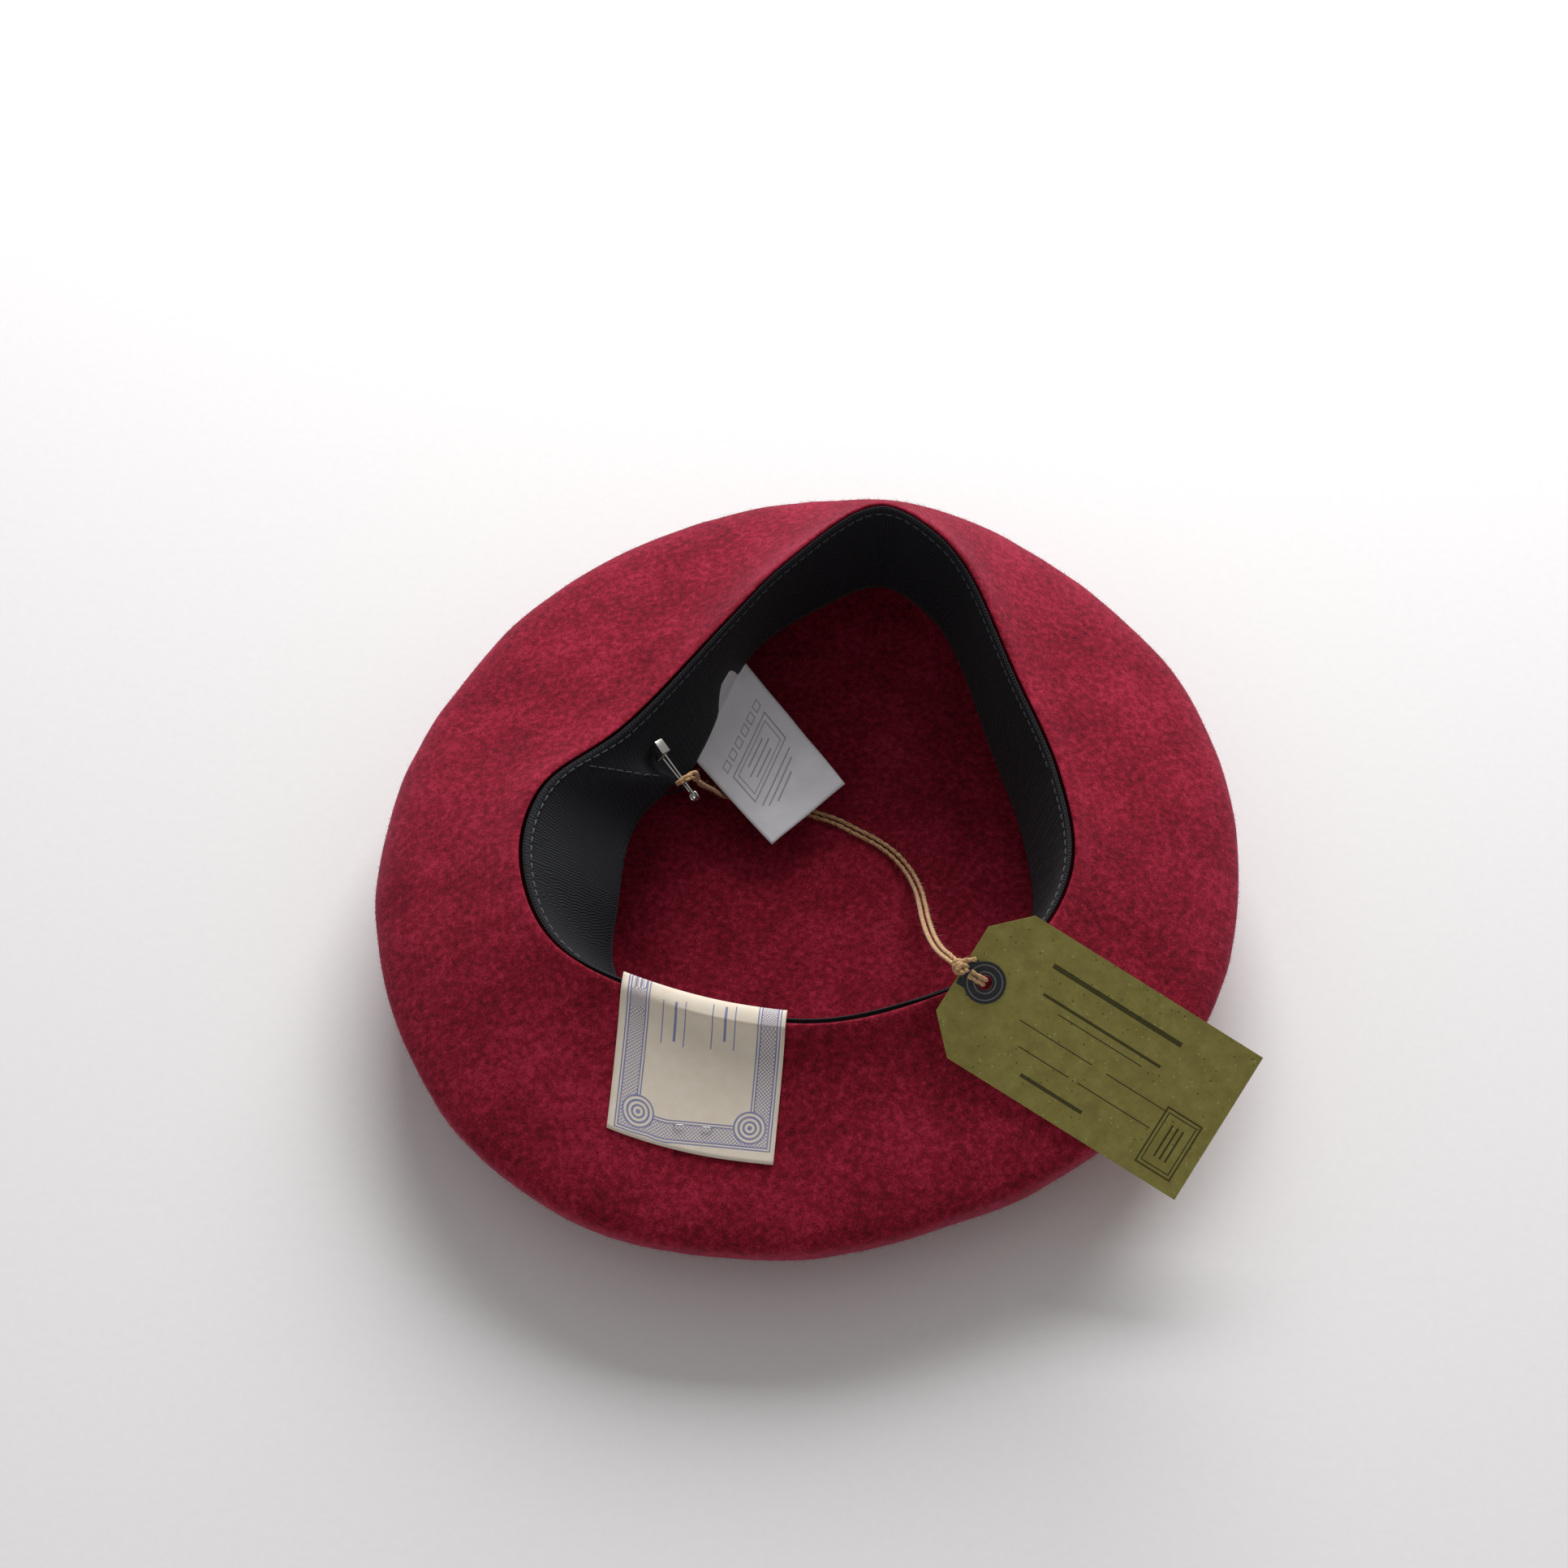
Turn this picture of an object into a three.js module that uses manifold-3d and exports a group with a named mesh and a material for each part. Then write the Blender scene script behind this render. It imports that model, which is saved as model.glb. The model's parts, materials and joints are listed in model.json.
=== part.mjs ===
// A felt beret lying on its crown, with its sweatband, labels, safety pin, twine and hang tag.
// Millimetres, +Z up. The crown rests on z = 0 and the head opening looks up.
// The finished group is moved so that the middle of its footprint is the origin.

import * as THREE from 'three';
import { mergeVertices } from 'three/addons/utils/BufferGeometryUtils.js';
import Module from 'manifold-3d';

const wasm = await Module();
wasm.setup();

// ---------------------------------------------------------------- driving sizes

// Felt body.
const beretAcross = 286;
const widestHeight = 36;
const footAcross = 184;
const feltThickness = 2.5;
const openingLength = 187;
const openingWidth = 179;
const openingCentre = new THREE.Vector2(-4.5, 6.5);
const rimHeight = 62;
const peakRise = 28;

// Sweatband of grosgrain ribbon.
const bandWidth = 39;
const bandThickness = 0.8;

// Threads.
const threadAcross = 0.5;
const rimSeamDepth = 2.4;

// Paper size label, folded over the rim and stapled.
const sizeLabelWidth = 51;
const sizeLabelDrop = 43.5;
const sizeLabelThickness = 0.35;
const sizeLabelPlace = -33;
const stapleWire = 0.55;
const stapleCrown = 12;
const stapleTip = 3.4;
const stapleFromEnd = 8;

// Satin care label.
const careLabelThickness = 0.4;
const careTabHeight = 10;

// Safety pin.
const pinLength = 21;
const pinGap = 3.5;
const pinWire = 0.8;
const pinCapLength = 5;
const pinCapWall = 0.4;

// Hang tag and its reinforcing patches.
const tagLength = 92;
const tagWidth = 51;
const tagThickness = 0.6;
const tagClip = 10.4;
const tagLean = 35;
const tagTurn = -32;
const eyeletInset = 8;
const eyeletAcross = 4.6;
const patchAcross = 13;
const patchThickness = 0.2;

// Twine, its knot and its loop through the eyelet.
const twineAcross = 1.45;
const knotAcross = 6;
const knotDirection = -58.9;
const knotHeight = 14;

// Clearances.
const gap = 0.3;
const looseGap = 0.5;
const holeGap = 0.35;
const laidGap = 0.7;

// ---------------------------------------------------------------- small helpers

const UP = new THREE.Vector3(0, 0, 1);
const STATIONS = 84;
const FLAP_ROWS = 12;
const UNDER_ROWS = 5;
const BAND_ROWS = 5;

const radians = THREE.MathUtils.degToRad;
const degrees = THREE.MathUtils.radToDeg;
const vector = (x, y, z) => new THREE.Vector3(x, y, z);
const range = (count) => Array.from({ length: count }, (_, i) => i);

// A smooth closed curve through [degrees, value, ...] rows sorted by degrees.
function around(rows, turn) {
  const angle = THREE.MathUtils.euclideanModulo(turn, 360);
  const found = rows.findIndex((row) => row[0] > angle);
  const next = found < 0 ? rows.length : found;
  const row = (i) => rows[THREE.MathUtils.euclideanModulo(i, rows.length)];
  const at = (i) => row(i)[0] + 360 * Math.floor(i / rows.length);
  const [start, end] = [at(next - 1), at(next)];
  const way = (angle - start) / (end - start);
  const [w2, w3] = [way ** 2, way ** 3];
  return row(next).slice(1).map((after, k) => {
    const value = (i) => row(i)[k + 1];
    const slope = (i) => (value(i + 1) - value(i - 1)) / (at(i + 1) - at(i - 1)) * (end - start);
    const ends = (2 * w3 - 3 * w2 + 1) * value(next - 1) + (3 * w2 - 2 * w3) * after;
    return ends + (w3 - 2 * w2 + way) * slope(next - 1) + (w3 - w2) * slope(next);
  });
}

// A closed body from points and triangles, turned so that its faces look out.
function closedBody(points, triangles) {
  const corner = (i) => points[i];
  const cross = new THREE.Vector3();
  let volume = 0;
  for (const [a, b, c] of triangles) {
    volume += cross.crossVectors(corner(b), corner(c)).dot(corner(a));
  }
  const faces = volume < 0 ? triangles.map(([a, b, c]) => [a, c, b]) : triangles;
  const geometry = new THREE.BufferGeometry();
  geometry.setFromPoints(points);
  geometry.setIndex(faces.flat());
  return geometry.toNonIndexed();
}

// A sheet with two faces, given as grids of points, closed by walls along its borders.
// A looped sheet joins its last column to its first; caps fill the hole of the last row.
function sheetBody(front, back, { looped = false, caps = null } = {}) {
  const rows = front.length;
  const columns = front[0].length;
  const points = [...front.flat(), ...back.flat()];
  const triangles = [];
  const at = (side, i, j) => (side * rows + i) * columns + (j % columns);
  const quad = (a, b, c, d) => triangles.push([a, b, c], [a, c, d]);
  const lastColumn = looped ? columns : columns - 1;
  for (let i = 0; i < rows - 1; i += 1) {
    for (let j = 0; j < lastColumn; j += 1) {
      quad(at(0, i, j), at(0, i, j + 1), at(0, i + 1, j + 1), at(0, i + 1, j));
      quad(at(1, i, j), at(1, i + 1, j), at(1, i + 1, j + 1), at(1, i, j + 1));
    }
    if (!looped) {
      quad(at(0, i, 0), at(0, i + 1, 0), at(1, i + 1, 0), at(1, i, 0));
      const end = columns - 1;
      quad(at(0, i, end), at(1, i, end), at(1, i + 1, end), at(0, i + 1, end));
    }
  }
  for (let j = 0; j < lastColumn; j += 1) {
    quad(at(0, 0, j), at(1, 0, j), at(1, 0, j + 1), at(0, 0, j + 1));
    if (!caps) quad(at(0, rows - 1, j), at(0, rows - 1, j + 1), at(1, rows - 1, j + 1), at(1, rows - 1, j));
  }
  if (caps) {
    points.push(...caps);
    const [frontCap, backCap] = [points.length - 2, points.length - 1];
    for (let j = 0; j < columns; j += 1) {
      triangles.push([at(0, rows - 1, j), at(0, rows - 1, j + 1), frontCap]);
      triangles.push([at(1, rows - 1, j + 1), at(1, rows - 1, j), backCap]);
    }
  }
  return closedBody(points, triangles);
}

// The unit normal of a grid of points at row i and column j.
function gridNormal(grid, i, j, looped) {
  const columns = grid[0].length;
  const column = (k) => (looped ? (k + columns) % columns : THREE.MathUtils.clamp(k, 0, columns - 1));
  const row = (k) => THREE.MathUtils.clamp(k, 0, grid.length - 1);
  const across = grid[i][column(j + 1)].clone().sub(grid[i][column(j - 1)]);
  const down = grid[row(i + 1)][j].clone().sub(grid[row(i - 1)][j]);
  return down.cross(across).normalize();
}

// A thin sheet around a middle surface.
function thinSheet(middle, thickness, looped = false) {
  const side = (sign) => middle.map((line, i) => line.map((point, j) => {
    const normal = gridNormal(middle, i, j, looped);
    return point.clone().addScaledVector(normal, sign * thickness / 2);
  }));
  return sheetBody(side(1), side(-1), { looped });
}

// A round bar along a curve.
function bar(curve, across, steps, sides = 8) {
  const section = new THREE.Shape();
  for (const i of range(sides)) {
    const angle = (i / sides) * 2 * Math.PI;
    const [x, y] = [Math.cos(angle) * across / 2, Math.sin(angle) * across / 2];
    if (i === 0) section.moveTo(x, y);
    else section.lineTo(x, y);
  }
  section.closePath();
  return new THREE.ExtrudeGeometry(section, { steps, extrudePath: curve, bevelEnabled: false });
}

const smoothCurve = (points, closed = false) => new THREE.CatmullRomCurve3(points, closed, 'centripetal');

// Joining and cutting of closed meshes.
function toSolid(geometry) {
  const bare = geometry.index ? geometry.toNonIndexed() : geometry.clone();
  bare.deleteAttribute('normal');
  bare.deleteAttribute('uv');
  const merged = mergeVertices(bare, 1e-4);
  return new wasm.Manifold(new wasm.Mesh({
    numProp: 3,
    vertProperties: merged.attributes.position.array,
    triVerts: new Uint32Array(merged.index.array),
  }));
}

function toGeometry(solid) {
  const mesh = solid.getMesh();
  const geometry = new THREE.BufferGeometry();
  geometry.setAttribute('position', new THREE.BufferAttribute(mesh.vertProperties, 3));
  geometry.setIndex(new THREE.BufferAttribute(mesh.triVerts, 1));
  return geometry.toNonIndexed();
}

// A geometry with straight round holes cut through it, each from one point to another.
function pierced(geometry, holes, across) {
  let solid = toSolid(geometry);
  for (const [from, to] of holes) {
    solid = solid.subtract(toSolid(bar(new THREE.LineCurve3(from, to), across, 1, 10)));
  }
  return toGeometry(solid);
}

const model = new THREE.Group();

function add(name, geometry, colour, roughness, metalness = 0, parent = model) {
  geometry.computeVertexNormals();
  const material = new THREE.MeshStandardMaterial({ color: colour, roughness, metalness });
  const mesh = new THREE.Mesh(geometry, material);
  mesh.name = name;
  parent.add(mesh);
  return mesh;
}

// ---------------------------------------------------------------- shape of the felt

// The rim: [share of half the opening's width, share of half its length, share of the peak's rise].
const rimShape = [
  [0.31, 1.00, 1.00], [-0.06, 0.82, 0.57], [-0.24, 0.67, 0.29], [-0.64, 0.23, 0.00],
  [-0.93, -0.02, 0.00], [-1.00, -0.32, 0.00], [-0.87, -0.67, 0.00], [-0.50, -0.89, 0.00],
  [0.05, -1.00, 0.00], [0.47, -0.90, 0.00], [0.83, -0.69, 0.00], [1.00, -0.37, 0.00],
  [0.97, 0.02, 0.03], [0.83, 0.41, 0.18], [0.66, 0.80, 0.57], [0.54, 0.91, 0.82],
];
const rimCurve = smoothCurve(rimShape.map(([x, y, rise]) => vector(
  openingCentre.x + x * openingWidth / 2,
  openingCentre.y + y * openingLength / 2,
  rimHeight + rise * peakRise,
)), true);

// Outline of the widest line: [direction, share of half the width across, height above widestHeight].
const outline = [
  [0, 0.988, 0], [30, 0.993, 1], [60, 0.98, 2], [90, 0.965, 2], [120, 0.953, 1], [145, 0.94, 0],
  [165, 0.957, -1], [185, 0.992, -2], [205, 1.035, -2], [225, 1.075, -3], [240, 1.082, -4],
  [255, 1.062, -4], [270, 1.035, -4], [290, 1.006, -3], [315, 1.01, -1], [340, 1.0, 0],
];
// How the flap leaves the rim and how full it is at the edge: [direction, flare, drop, fullness].
const flapForm = [
  [0, 14, 8, 12], [45, 14, 12, 14], [80, 14, 20, 20], [130, 20, 12, 14],
  [180, 14, 8, 12], [225, 10, 12, 12], [262, 6, 20, 12], [310, 10, 14, 12],
];

// The felt's profile at one place of the rim, from the rim out and down to the foot.
function flapCurve(place) {
  const top = rimCurve.getPointAt(THREE.MathUtils.euclideanModulo(place, 1));
  const turn = Math.atan2(top.y, top.x);
  const out = vector(Math.cos(turn), Math.sin(turn), 0);
  const [share, lift] = around(outline, degrees(turn));
  const [flare, drop, fullness] = around(flapForm, degrees(turn));
  const edge = out.clone().multiplyScalar(share * beretAcross / 2);
  edge.z = widestHeight + lift;
  const leave = top.clone().addScaledVector(out, flare).addScaledVector(UP, -drop);
  const full = edge.clone().addScaledVector(UP, fullness);
  return { out, edge, flap: new THREE.CubicBezierCurve3(top, leave, full, edge) };
}

function underCurve({ out, edge }) {
  const foot = out.clone().multiplyScalar(footAcross / 2);
  const reach = edge.clone().sub(foot).setZ(0).length();
  const down = edge.clone().addScaledVector(UP, -0.6 * edge.z);
  const along = foot.clone().addScaledVector(out, 0.62 * reach);
  return new THREE.CubicBezierCurve3(edge, down, along, foot);
}

// A point on the outer face of the flap, at a place on the rim and a distance down from it.
function flapPoint(place, distance) {
  const { flap } = flapCurve(place);
  return flap.getPointAt(THREE.MathUtils.clamp(distance / flap.getLength(), 0, 1));
}

function flapNormal(place, distance) {
  const step = 0.004;
  const near = Math.max(distance - 1, 0);
  const across = flapPoint(place + step, distance).sub(flapPoint(place - step, distance));
  const down = flapPoint(place, distance + 1).sub(flapPoint(place, near));
  return down.cross(across).normalize();
}

// The level direction that points out of the opening at a place on the rim.
function rimSide(place) {
  const along = rimCurve.getTangentAt(THREE.MathUtils.euclideanModulo(place, 1));
  return vector(along.y, -along.x, 0).normalize();
}

// The place on the rim whose point lies in a given direction from the middle.
const rimTurns = range(721).map((i) => {
  const top = rimCurve.getPointAt((i % 720) / 720);
  return degrees(Math.atan2(top.y, top.x));
});
function placeAtTurn(turn) {
  const distance = (i) => Math.abs(THREE.MathUtils.euclideanModulo(rimTurns[i] - turn + 180, 360) - 180);
  const best = range(720).reduce((a, b) => (distance(b) < distance(a) ? b : a));
  return best / 720;
}

function buildFelt() {
  const sections = range(STATIONS).map((j) => {
    const curve = flapCurve(j / STATIONS);
    return [...curve.flap.getPoints(FLAP_ROWS), ...underCurve(curve).getPoints(UNDER_ROWS).slice(1)];
  });
  const rows = sections[0].length;
  const outer = range(rows).map((i) => sections.map((section) => section[i]));
  const inner = outer.map((line, i) => line.map((point, j) => {
    if (i === 0) return point.clone().addScaledVector(rimSide(j / STATIONS), -feltThickness);
    if (i === rows - 1) return point.clone().setZ(feltThickness);
    return point.clone().addScaledVector(gridNormal(outer, i, j, true), -feltThickness);
  }));
  const caps = [vector(0, 0, 0), vector(0, 0, feltThickness)];
  return sheetBody(outer, inner, { looped: true, caps });
}

// ---------------------------------------------------------------- sweatband

// Where the ribbon hangs from the rim: [direction, x, y, z of its fall, share lying on the flap].
const bandFall = [
  [0, -0.20, 0.02, -0.98, 0], [45, -0.08, -0.08, -0.99, 0], [80, 0.00, -0.04, -1.00, 0],
  [97, -0.14, 0.02, -1.00, 0], [112, -0.06, 0.00, -1.00, 0], [126, 0.12, 0.00, -0.98, 0],
  [142, 0.26, 0.00, -0.96, 0], [156, 0.44, 0.00, -0.89, 0],
  [170, 0.88, 0.16, -0.45, 0], [177, 0.76, 0.14, -0.64, 0], [194, 0.74, 0.05, -0.67, 0],
  [206, 0.57, 0.03, -0.82, 0], [220, 0.40, 0.14, -0.90, 0], [238, 0.10, 0.20, -0.97, 1],
  [286, -0.04, 0.20, -0.97, 1], [300, -0.15, 0.22, -0.96, 0], [330, -0.22, 0.10, -0.97, 0],
];
const bandJoinTurn = 170;

// A point of the ribbon: depth is measured from its back face, distance down from the rim.
function bandPoint(place, distance, depth) {
  const top = rimCurve.getPointAt(THREE.MathUtils.euclideanModulo(place, 1));
  const side = rimSide(place);
  const [x, y, z, share] = around(bandFall, degrees(Math.atan2(top.y, top.x)));
  const lying = THREE.MathUtils.clamp(share, 0, 1);
  const fall = vector(x, y, z).normalize();
  const inset = feltThickness + gap + depth;
  const hanging = top.clone().addScaledVector(side, -inset).addScaledVector(fall, distance);
  if (lying === 0) return hanging;
  const normal = flapNormal(place, distance).lerp(side, THREE.MathUtils.clamp(1 - distance / 6, 0, 1));
  const laid = flapPoint(place, distance).addScaledVector(normal.normalize(), -inset - laidGap);
  return hanging.lerp(laid, lying);
}

// A point above the face of the ribbon that looks into the opening.
function bandFace(place, distance, height) {
  const middle = (u, d) => bandPoint(u, d, bandThickness / 2);
  const along = middle(place + 0.006, distance).sub(middle(place - 0.006, distance));
  const fall = middle(place, distance + 1).sub(middle(place, Math.max(distance - 1, 0)));
  const face = along.cross(fall).normalize();
  return middle(place, distance).addScaledVector(face, bandThickness / 2 + height);
}

function buildBand() {
  const grid = range(BAND_ROWS + 1).map((i) => range(STATIONS).map((j) => (
    bandPoint(j / STATIONS, (i / BAND_ROWS) * bandWidth, bandThickness / 2))));
  const ribbonLoop = pierced(thinSheet(grid, bandThickness, true), pinHoles(), pinWire + 2 * holeGap);
  return pierced(ribbonLoop, stapleHoles(), stapleWire + 2 * holeGap);
}

// A sewn line on the face of the ribbon.
function buildRimThread() {
  const height = looseGap + threadAcross / 2;
  const points = range(STATIONS).map((j) => bandFace(j / STATIONS, rimSeamDepth, height));
  return bar(smoothCurve(points, true), threadAcross, STATIONS, 6);
}

function buildJoinThread() {
  const place = placeAtTurn(bandJoinTurn);
  const [first, last] = [rimSeamDepth + 2, bandWidth - 4];
  const points = range(6).map((i) => (
    bandFace(place, THREE.MathUtils.lerp(first, last, i / 5), looseGap + threadAcross / 2)));
  return bar(smoothCurve(points), threadAcross, 10, 6);
}

// ---------------------------------------------------------------- paper size label

const sizeLabelDirection = vector(-0.1, -1, 0).normalize();

// The point of the flap below a point of the plan, with its normal.
function flapUnder(x, y) {
  const place = placeAtTurn(degrees(Math.atan2(y, x)));
  const { flap } = flapCurve(place);
  const radius = Math.hypot(x, y);
  let [low, high] = [0, 1];
  for (let step = 0; step < 24; step += 1) {
    const middle = (low + high) / 2;
    const point = flap.getPoint(middle);
    if (Math.hypot(point.x, point.y) < radius) low = middle;
    else high = middle;
  }
  return { point: vector(x, y, flap.getPoint(low).z), normal: flapNormal(place, arcTo(flap, low)) };
}

function arcTo(curve, share) {
  let length = 0;
  let last = curve.getPoint(0);
  for (let i = 1; i <= 20; i += 1) {
    const point = curve.getPoint((share * i) / 20);
    length += point.distanceTo(last);
    last = point;
  }
  return length;
}

// Points down the flap from the rim, at given distances, for one line of the label.
function labelLine(across, distances) {
  const x = sizeLabelPlace + across;
  const rim = range(361).map((i) => rimCurve.getPointAt(i / 361));
  const near = rim.filter((point) => point.y < openingCentre.y);
  const start = near.reduce((a, b) => (Math.abs(b.x - x) < Math.abs(a.x - x) ? b : a)).clone();
  const line = [];
  let walked = 0;
  let last = start;
  for (let step = 1; line.length < distances.length; step += 1) {
    const plan = start.clone().addScaledVector(sizeLabelDirection, step * 0.5);
    const under = flapUnder(plan.x, plan.y);
    walked += under.point.distanceTo(last);
    last = under.point;
    if (walked >= distances[line.length]) line.push(under);
  }
  return { start, line };
}

const outerDrops = [3, 8, 14, 22, 30, 38, sizeLabelDrop];
const ribbonLayers = gap + laidGap + bandThickness + threadAcross;
const innerInset = feltThickness + ribbonLayers + 2 * looseGap + sizeLabelThickness;

// The label's middle surface: up the inside, over the rim, and down the outside.
function sizeLabelColumn(across) {
  const { start, line } = labelLine(across, outerDrops);
  const outer = line.map(({ point, normal }) => (
    point.clone().addScaledVector(normal, looseGap + sizeLabelThickness / 2)));
  const inner = line.map(({ point, normal }) => point.clone().addScaledVector(normal, -innerInset));
  const out = sizeLabelDirection;
  const over = [
    start.clone().addScaledVector(out, -innerInset).addScaledVector(UP, -0.8),
    start.clone().addScaledVector(out, -innerInset * 0.8).addScaledVector(UP, 0.9),
    start.clone().addScaledVector(out, -innerInset * 0.3).addScaledVector(UP, 1.2),
    start.clone().addScaledVector(out, 0.9).addScaledVector(UP, 0.6),
  ];
  return [...inner.reverse(), ...over, ...outer];
}

function buildSizeLabel(holes) {
  const half = sizeLabelWidth / 2;
  const shares = [-1, -0.8, -0.4, 0, 0.4, 0.8, 1];
  const columns = shares.map((share) => sizeLabelColumn(share * half));
  const grid = range(columns[0].length).map((i) => columns.map((column) => column[i]));
  const body = thinSheet(grid, sizeLabelThickness);
  return pierced(body, holes, stapleWire + 2 * holeGap);
}

// ---------------------------------------------------------------- staple

// The staple's frame: its middle on the label, its crown's direction and its legs' direction.
function staplePlace() {
  const { line } = labelLine(0, [sizeLabelDrop - stapleFromEnd]);
  const { point, normal } = line[0];
  const along = sizeLabelDirection.clone().cross(UP).negate();
  along.addScaledVector(normal, -along.dot(normal)).normalize();
  return { point, normal, along };
}

function stapleHoles() {
  const { point, normal, along } = staplePlace();
  return [-1, 1].map((side) => {
    const leg = point.clone().addScaledVector(along, side * stapleCrown / 2);
    return [leg.clone().addScaledVector(normal, -8), leg.clone().addScaledVector(normal, 4)];
  });
}

function buildStaple() {
  const { point, normal, along } = staplePlace();
  const inside = -(innerInset + sizeLabelThickness / 2 + looseGap + stapleWire / 2);
  const outside = 2 * looseGap + sizeLabelThickness + stapleWire / 2;
  const half = stapleCrown / 2;
  const place = (x, n) => point.clone().addScaledVector(along, x).addScaledVector(normal, n);
  const corners = [
    place(-half + stapleTip, outside + 0.2), place(-half + 0.3, outside + 0.2), place(-half, outside - 0.3),
    place(-half, inside + 0.4), place(-half + 0.4, inside), place(half - 0.4, inside),
    place(half, inside + 0.4), place(half, outside - 0.3), place(half - 0.3, outside + 0.2),
    place(half - stapleTip, outside + 0.2),
  ];
  const line = new THREE.CatmullRomCurve3(corners, false, 'catmullrom', 0.05);
  return bar(line, stapleWire, 36, 6);
}

// ---------------------------------------------------------------- satin care label

// The label comes down behind the ribbon, folds under its free edge and falls into the crown.
const careFoldTurns = [141, 104];
const careLeafFall = [vector(25.7, -28, -10.8), vector(34.2, -40.8, -16.5)];

// A point of the fold: share 0 is its left end, share 1 its right end.
function careFold(share, drop) {
  const turn = THREE.MathUtils.lerp(careFoldTurns[0], careFoldTurns[1], share);
  const place = placeAtTurn(turn);
  const fall = bandPoint(place, bandWidth, 0).sub(bandPoint(place, bandWidth - 1, 0)).normalize();
  return bandPoint(place, bandWidth, bandThickness / 2).addScaledVector(fall, drop);
}

const careHinge = [0, 1].map((share) => careFold(share, looseGap + careLabelThickness / 2));
const careLeafEnd = careHinge.map((top, i) => top.clone().add(careLeafFall[i]));

function buildCareLeaf() {
  const [left, right] = careHinge;
  const start = (gap + careLabelThickness) / left.distanceTo(careLeafEnd[0]);
  const grid = range(7).map((i) => range(5).map((j) => {
    const top = left.clone().lerp(right, j / 4);
    const bottom = careLeafEnd[0].clone().lerp(careLeafEnd[1], j / 4);
    return top.lerp(bottom, THREE.MathUtils.lerp(start, 1, i / 6));
  }));
  return thinSheet(grid, careLabelThickness);
}

// The sewn end of the label, on the back of the ribbon.
const careTabPoint = (share, rise, height) => {
  const turn = THREE.MathUtils.lerp(careFoldTurns[0], careFoldTurns[1], share);
  return bandPoint(placeAtTurn(turn), bandWidth - rise, -height);
};

function buildCareTab() {
  const height = gap + careLabelThickness / 2;
  const grid = range(3).map((i) => range(5).map((j) => (
    careTabPoint(j / 4, careTabHeight * (1 - i / 2), height))));
  return thinSheet(grid, careLabelThickness);
}

function buildCareThread() {
  const height = gap + careLabelThickness + gap + threadAcross / 2;
  const points = range(6).map((i) => careTabPoint(0.06 + 0.88 * (i / 5), careTabHeight - 2, height));
  return bar(smoothCurve(points), threadAcross, 10, 6);
}

// ---------------------------------------------------------------- safety pin

const pinCoil = bandPoint(placeAtTurn(bandJoinTurn), bandWidth, 0).add(vector(4.45, -8.64, 1.89));
const pinDirection = vector(-0.583, 0.746, 0.322).normalize();
const pinGapDirection = vector(0.25, 0.14, 0.96);
pinGapDirection.addScaledVector(pinDirection, -pinGapDirection.dot(pinDirection)).normalize();
const pinSide = pinDirection.clone().cross(pinGapDirection);
const pinPlace = (along, up, side) => pinCoil.clone().addScaledVector(pinDirection, along)
  .addScaledVector(pinGapDirection, up).addScaledVector(pinSide, side);

function buildPinWire() {
  const radius = pinGap / 2;
  const pitch = pinWire + gap;
  const turns = 1.5;
  const points = [pinLength, pinLength * 0.6, 4].map((along) => pinPlace(along, radius, 0));
  for (const i of range(19)) {
    const angle = radians(90 + (i / 18) * 360 * turns);
    points.push(pinPlace(Math.cos(angle) * radius, Math.sin(angle) * radius, (i / 18) * pitch * turns));
  }
  const side = pitch * turns;
  points.push(pinPlace(4, -radius, side), pinPlace(pinLength * 0.6, -radius, side * 0.7));
  points.push(pinPlace(pinLength, -radius, side * 0.5));
  return bar(smoothCurve(points), pinWire, 60, 6);
}

// The stretch of the pin's lower wire that passes through the ribbon.
function pinHoles() {
  const side = (pinWire + gap) * 1.5;
  return [[pinPlace(2, -pinGap / 2, side), pinPlace(pinLength, -pinGap / 2, side * 0.5)]];
}

function buildPinCap() {
  const outer = new THREE.BoxGeometry(pinCapLength, pinGap + pinWire + 2 * (gap + pinCapWall), 3.4);
  const hollow = new THREE.BoxGeometry(pinCapLength, pinGap + pinWire + 2 * gap, 3.4 - 2 * pinCapWall);
  hollow.translate(-pinCapWall, 0, 0);
  const turn = new THREE.Matrix4().makeBasis(pinDirection, pinGapDirection, pinSide);
  const middle = pinPlace(pinLength - pinCapLength / 2 + pinCapWall + gap, 0, 0.4);
  const cap = toGeometry(toSolid(outer).subtract(toSolid(hollow)));
  return cap.applyMatrix4(turn.setPosition(middle));
}

// ---------------------------------------------------------------- hang tag

const tagGroup = new THREE.Group();
const knotPlace = rimCurve.getPointAt(placeAtTurn(knotDirection)).addScaledVector(UP, knotHeight);
tagGroup.position.copy(knotPlace);
tagGroup.rotation.set(radians(tagLean), 0, radians(tagTurn));
model.add(tagGroup);

const tagEdge = 1;
const tagTop = -(knotAcross / 2 + gap + 0.1);
const eyeletX = tagEdge + eyeletInset;

const flatPiece = (edge, depth) => (
  new THREE.ExtrudeGeometry(edge, { depth, bevelEnabled: false, curveSegments: 10 }));

function buildTag() {
  const half = tagWidth / 2;
  const end = tagEdge + tagLength;
  const card = new THREE.Shape();
  card.moveTo(tagEdge, -half + tagClip);
  card.lineTo(tagEdge + tagClip, -half);
  card.lineTo(end, -half);
  card.lineTo(end, half);
  card.lineTo(tagEdge + tagClip, half);
  card.lineTo(tagEdge, half - tagClip);
  card.closePath();
  card.holes.push(new THREE.Path().absarc(eyeletX, 0, eyeletAcross / 2, 0, 2 * Math.PI, true));
  const body = flatPiece(card, tagThickness);
  return body.translate(0, 0, tagTop - patchThickness - gap - tagThickness);
}

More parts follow.
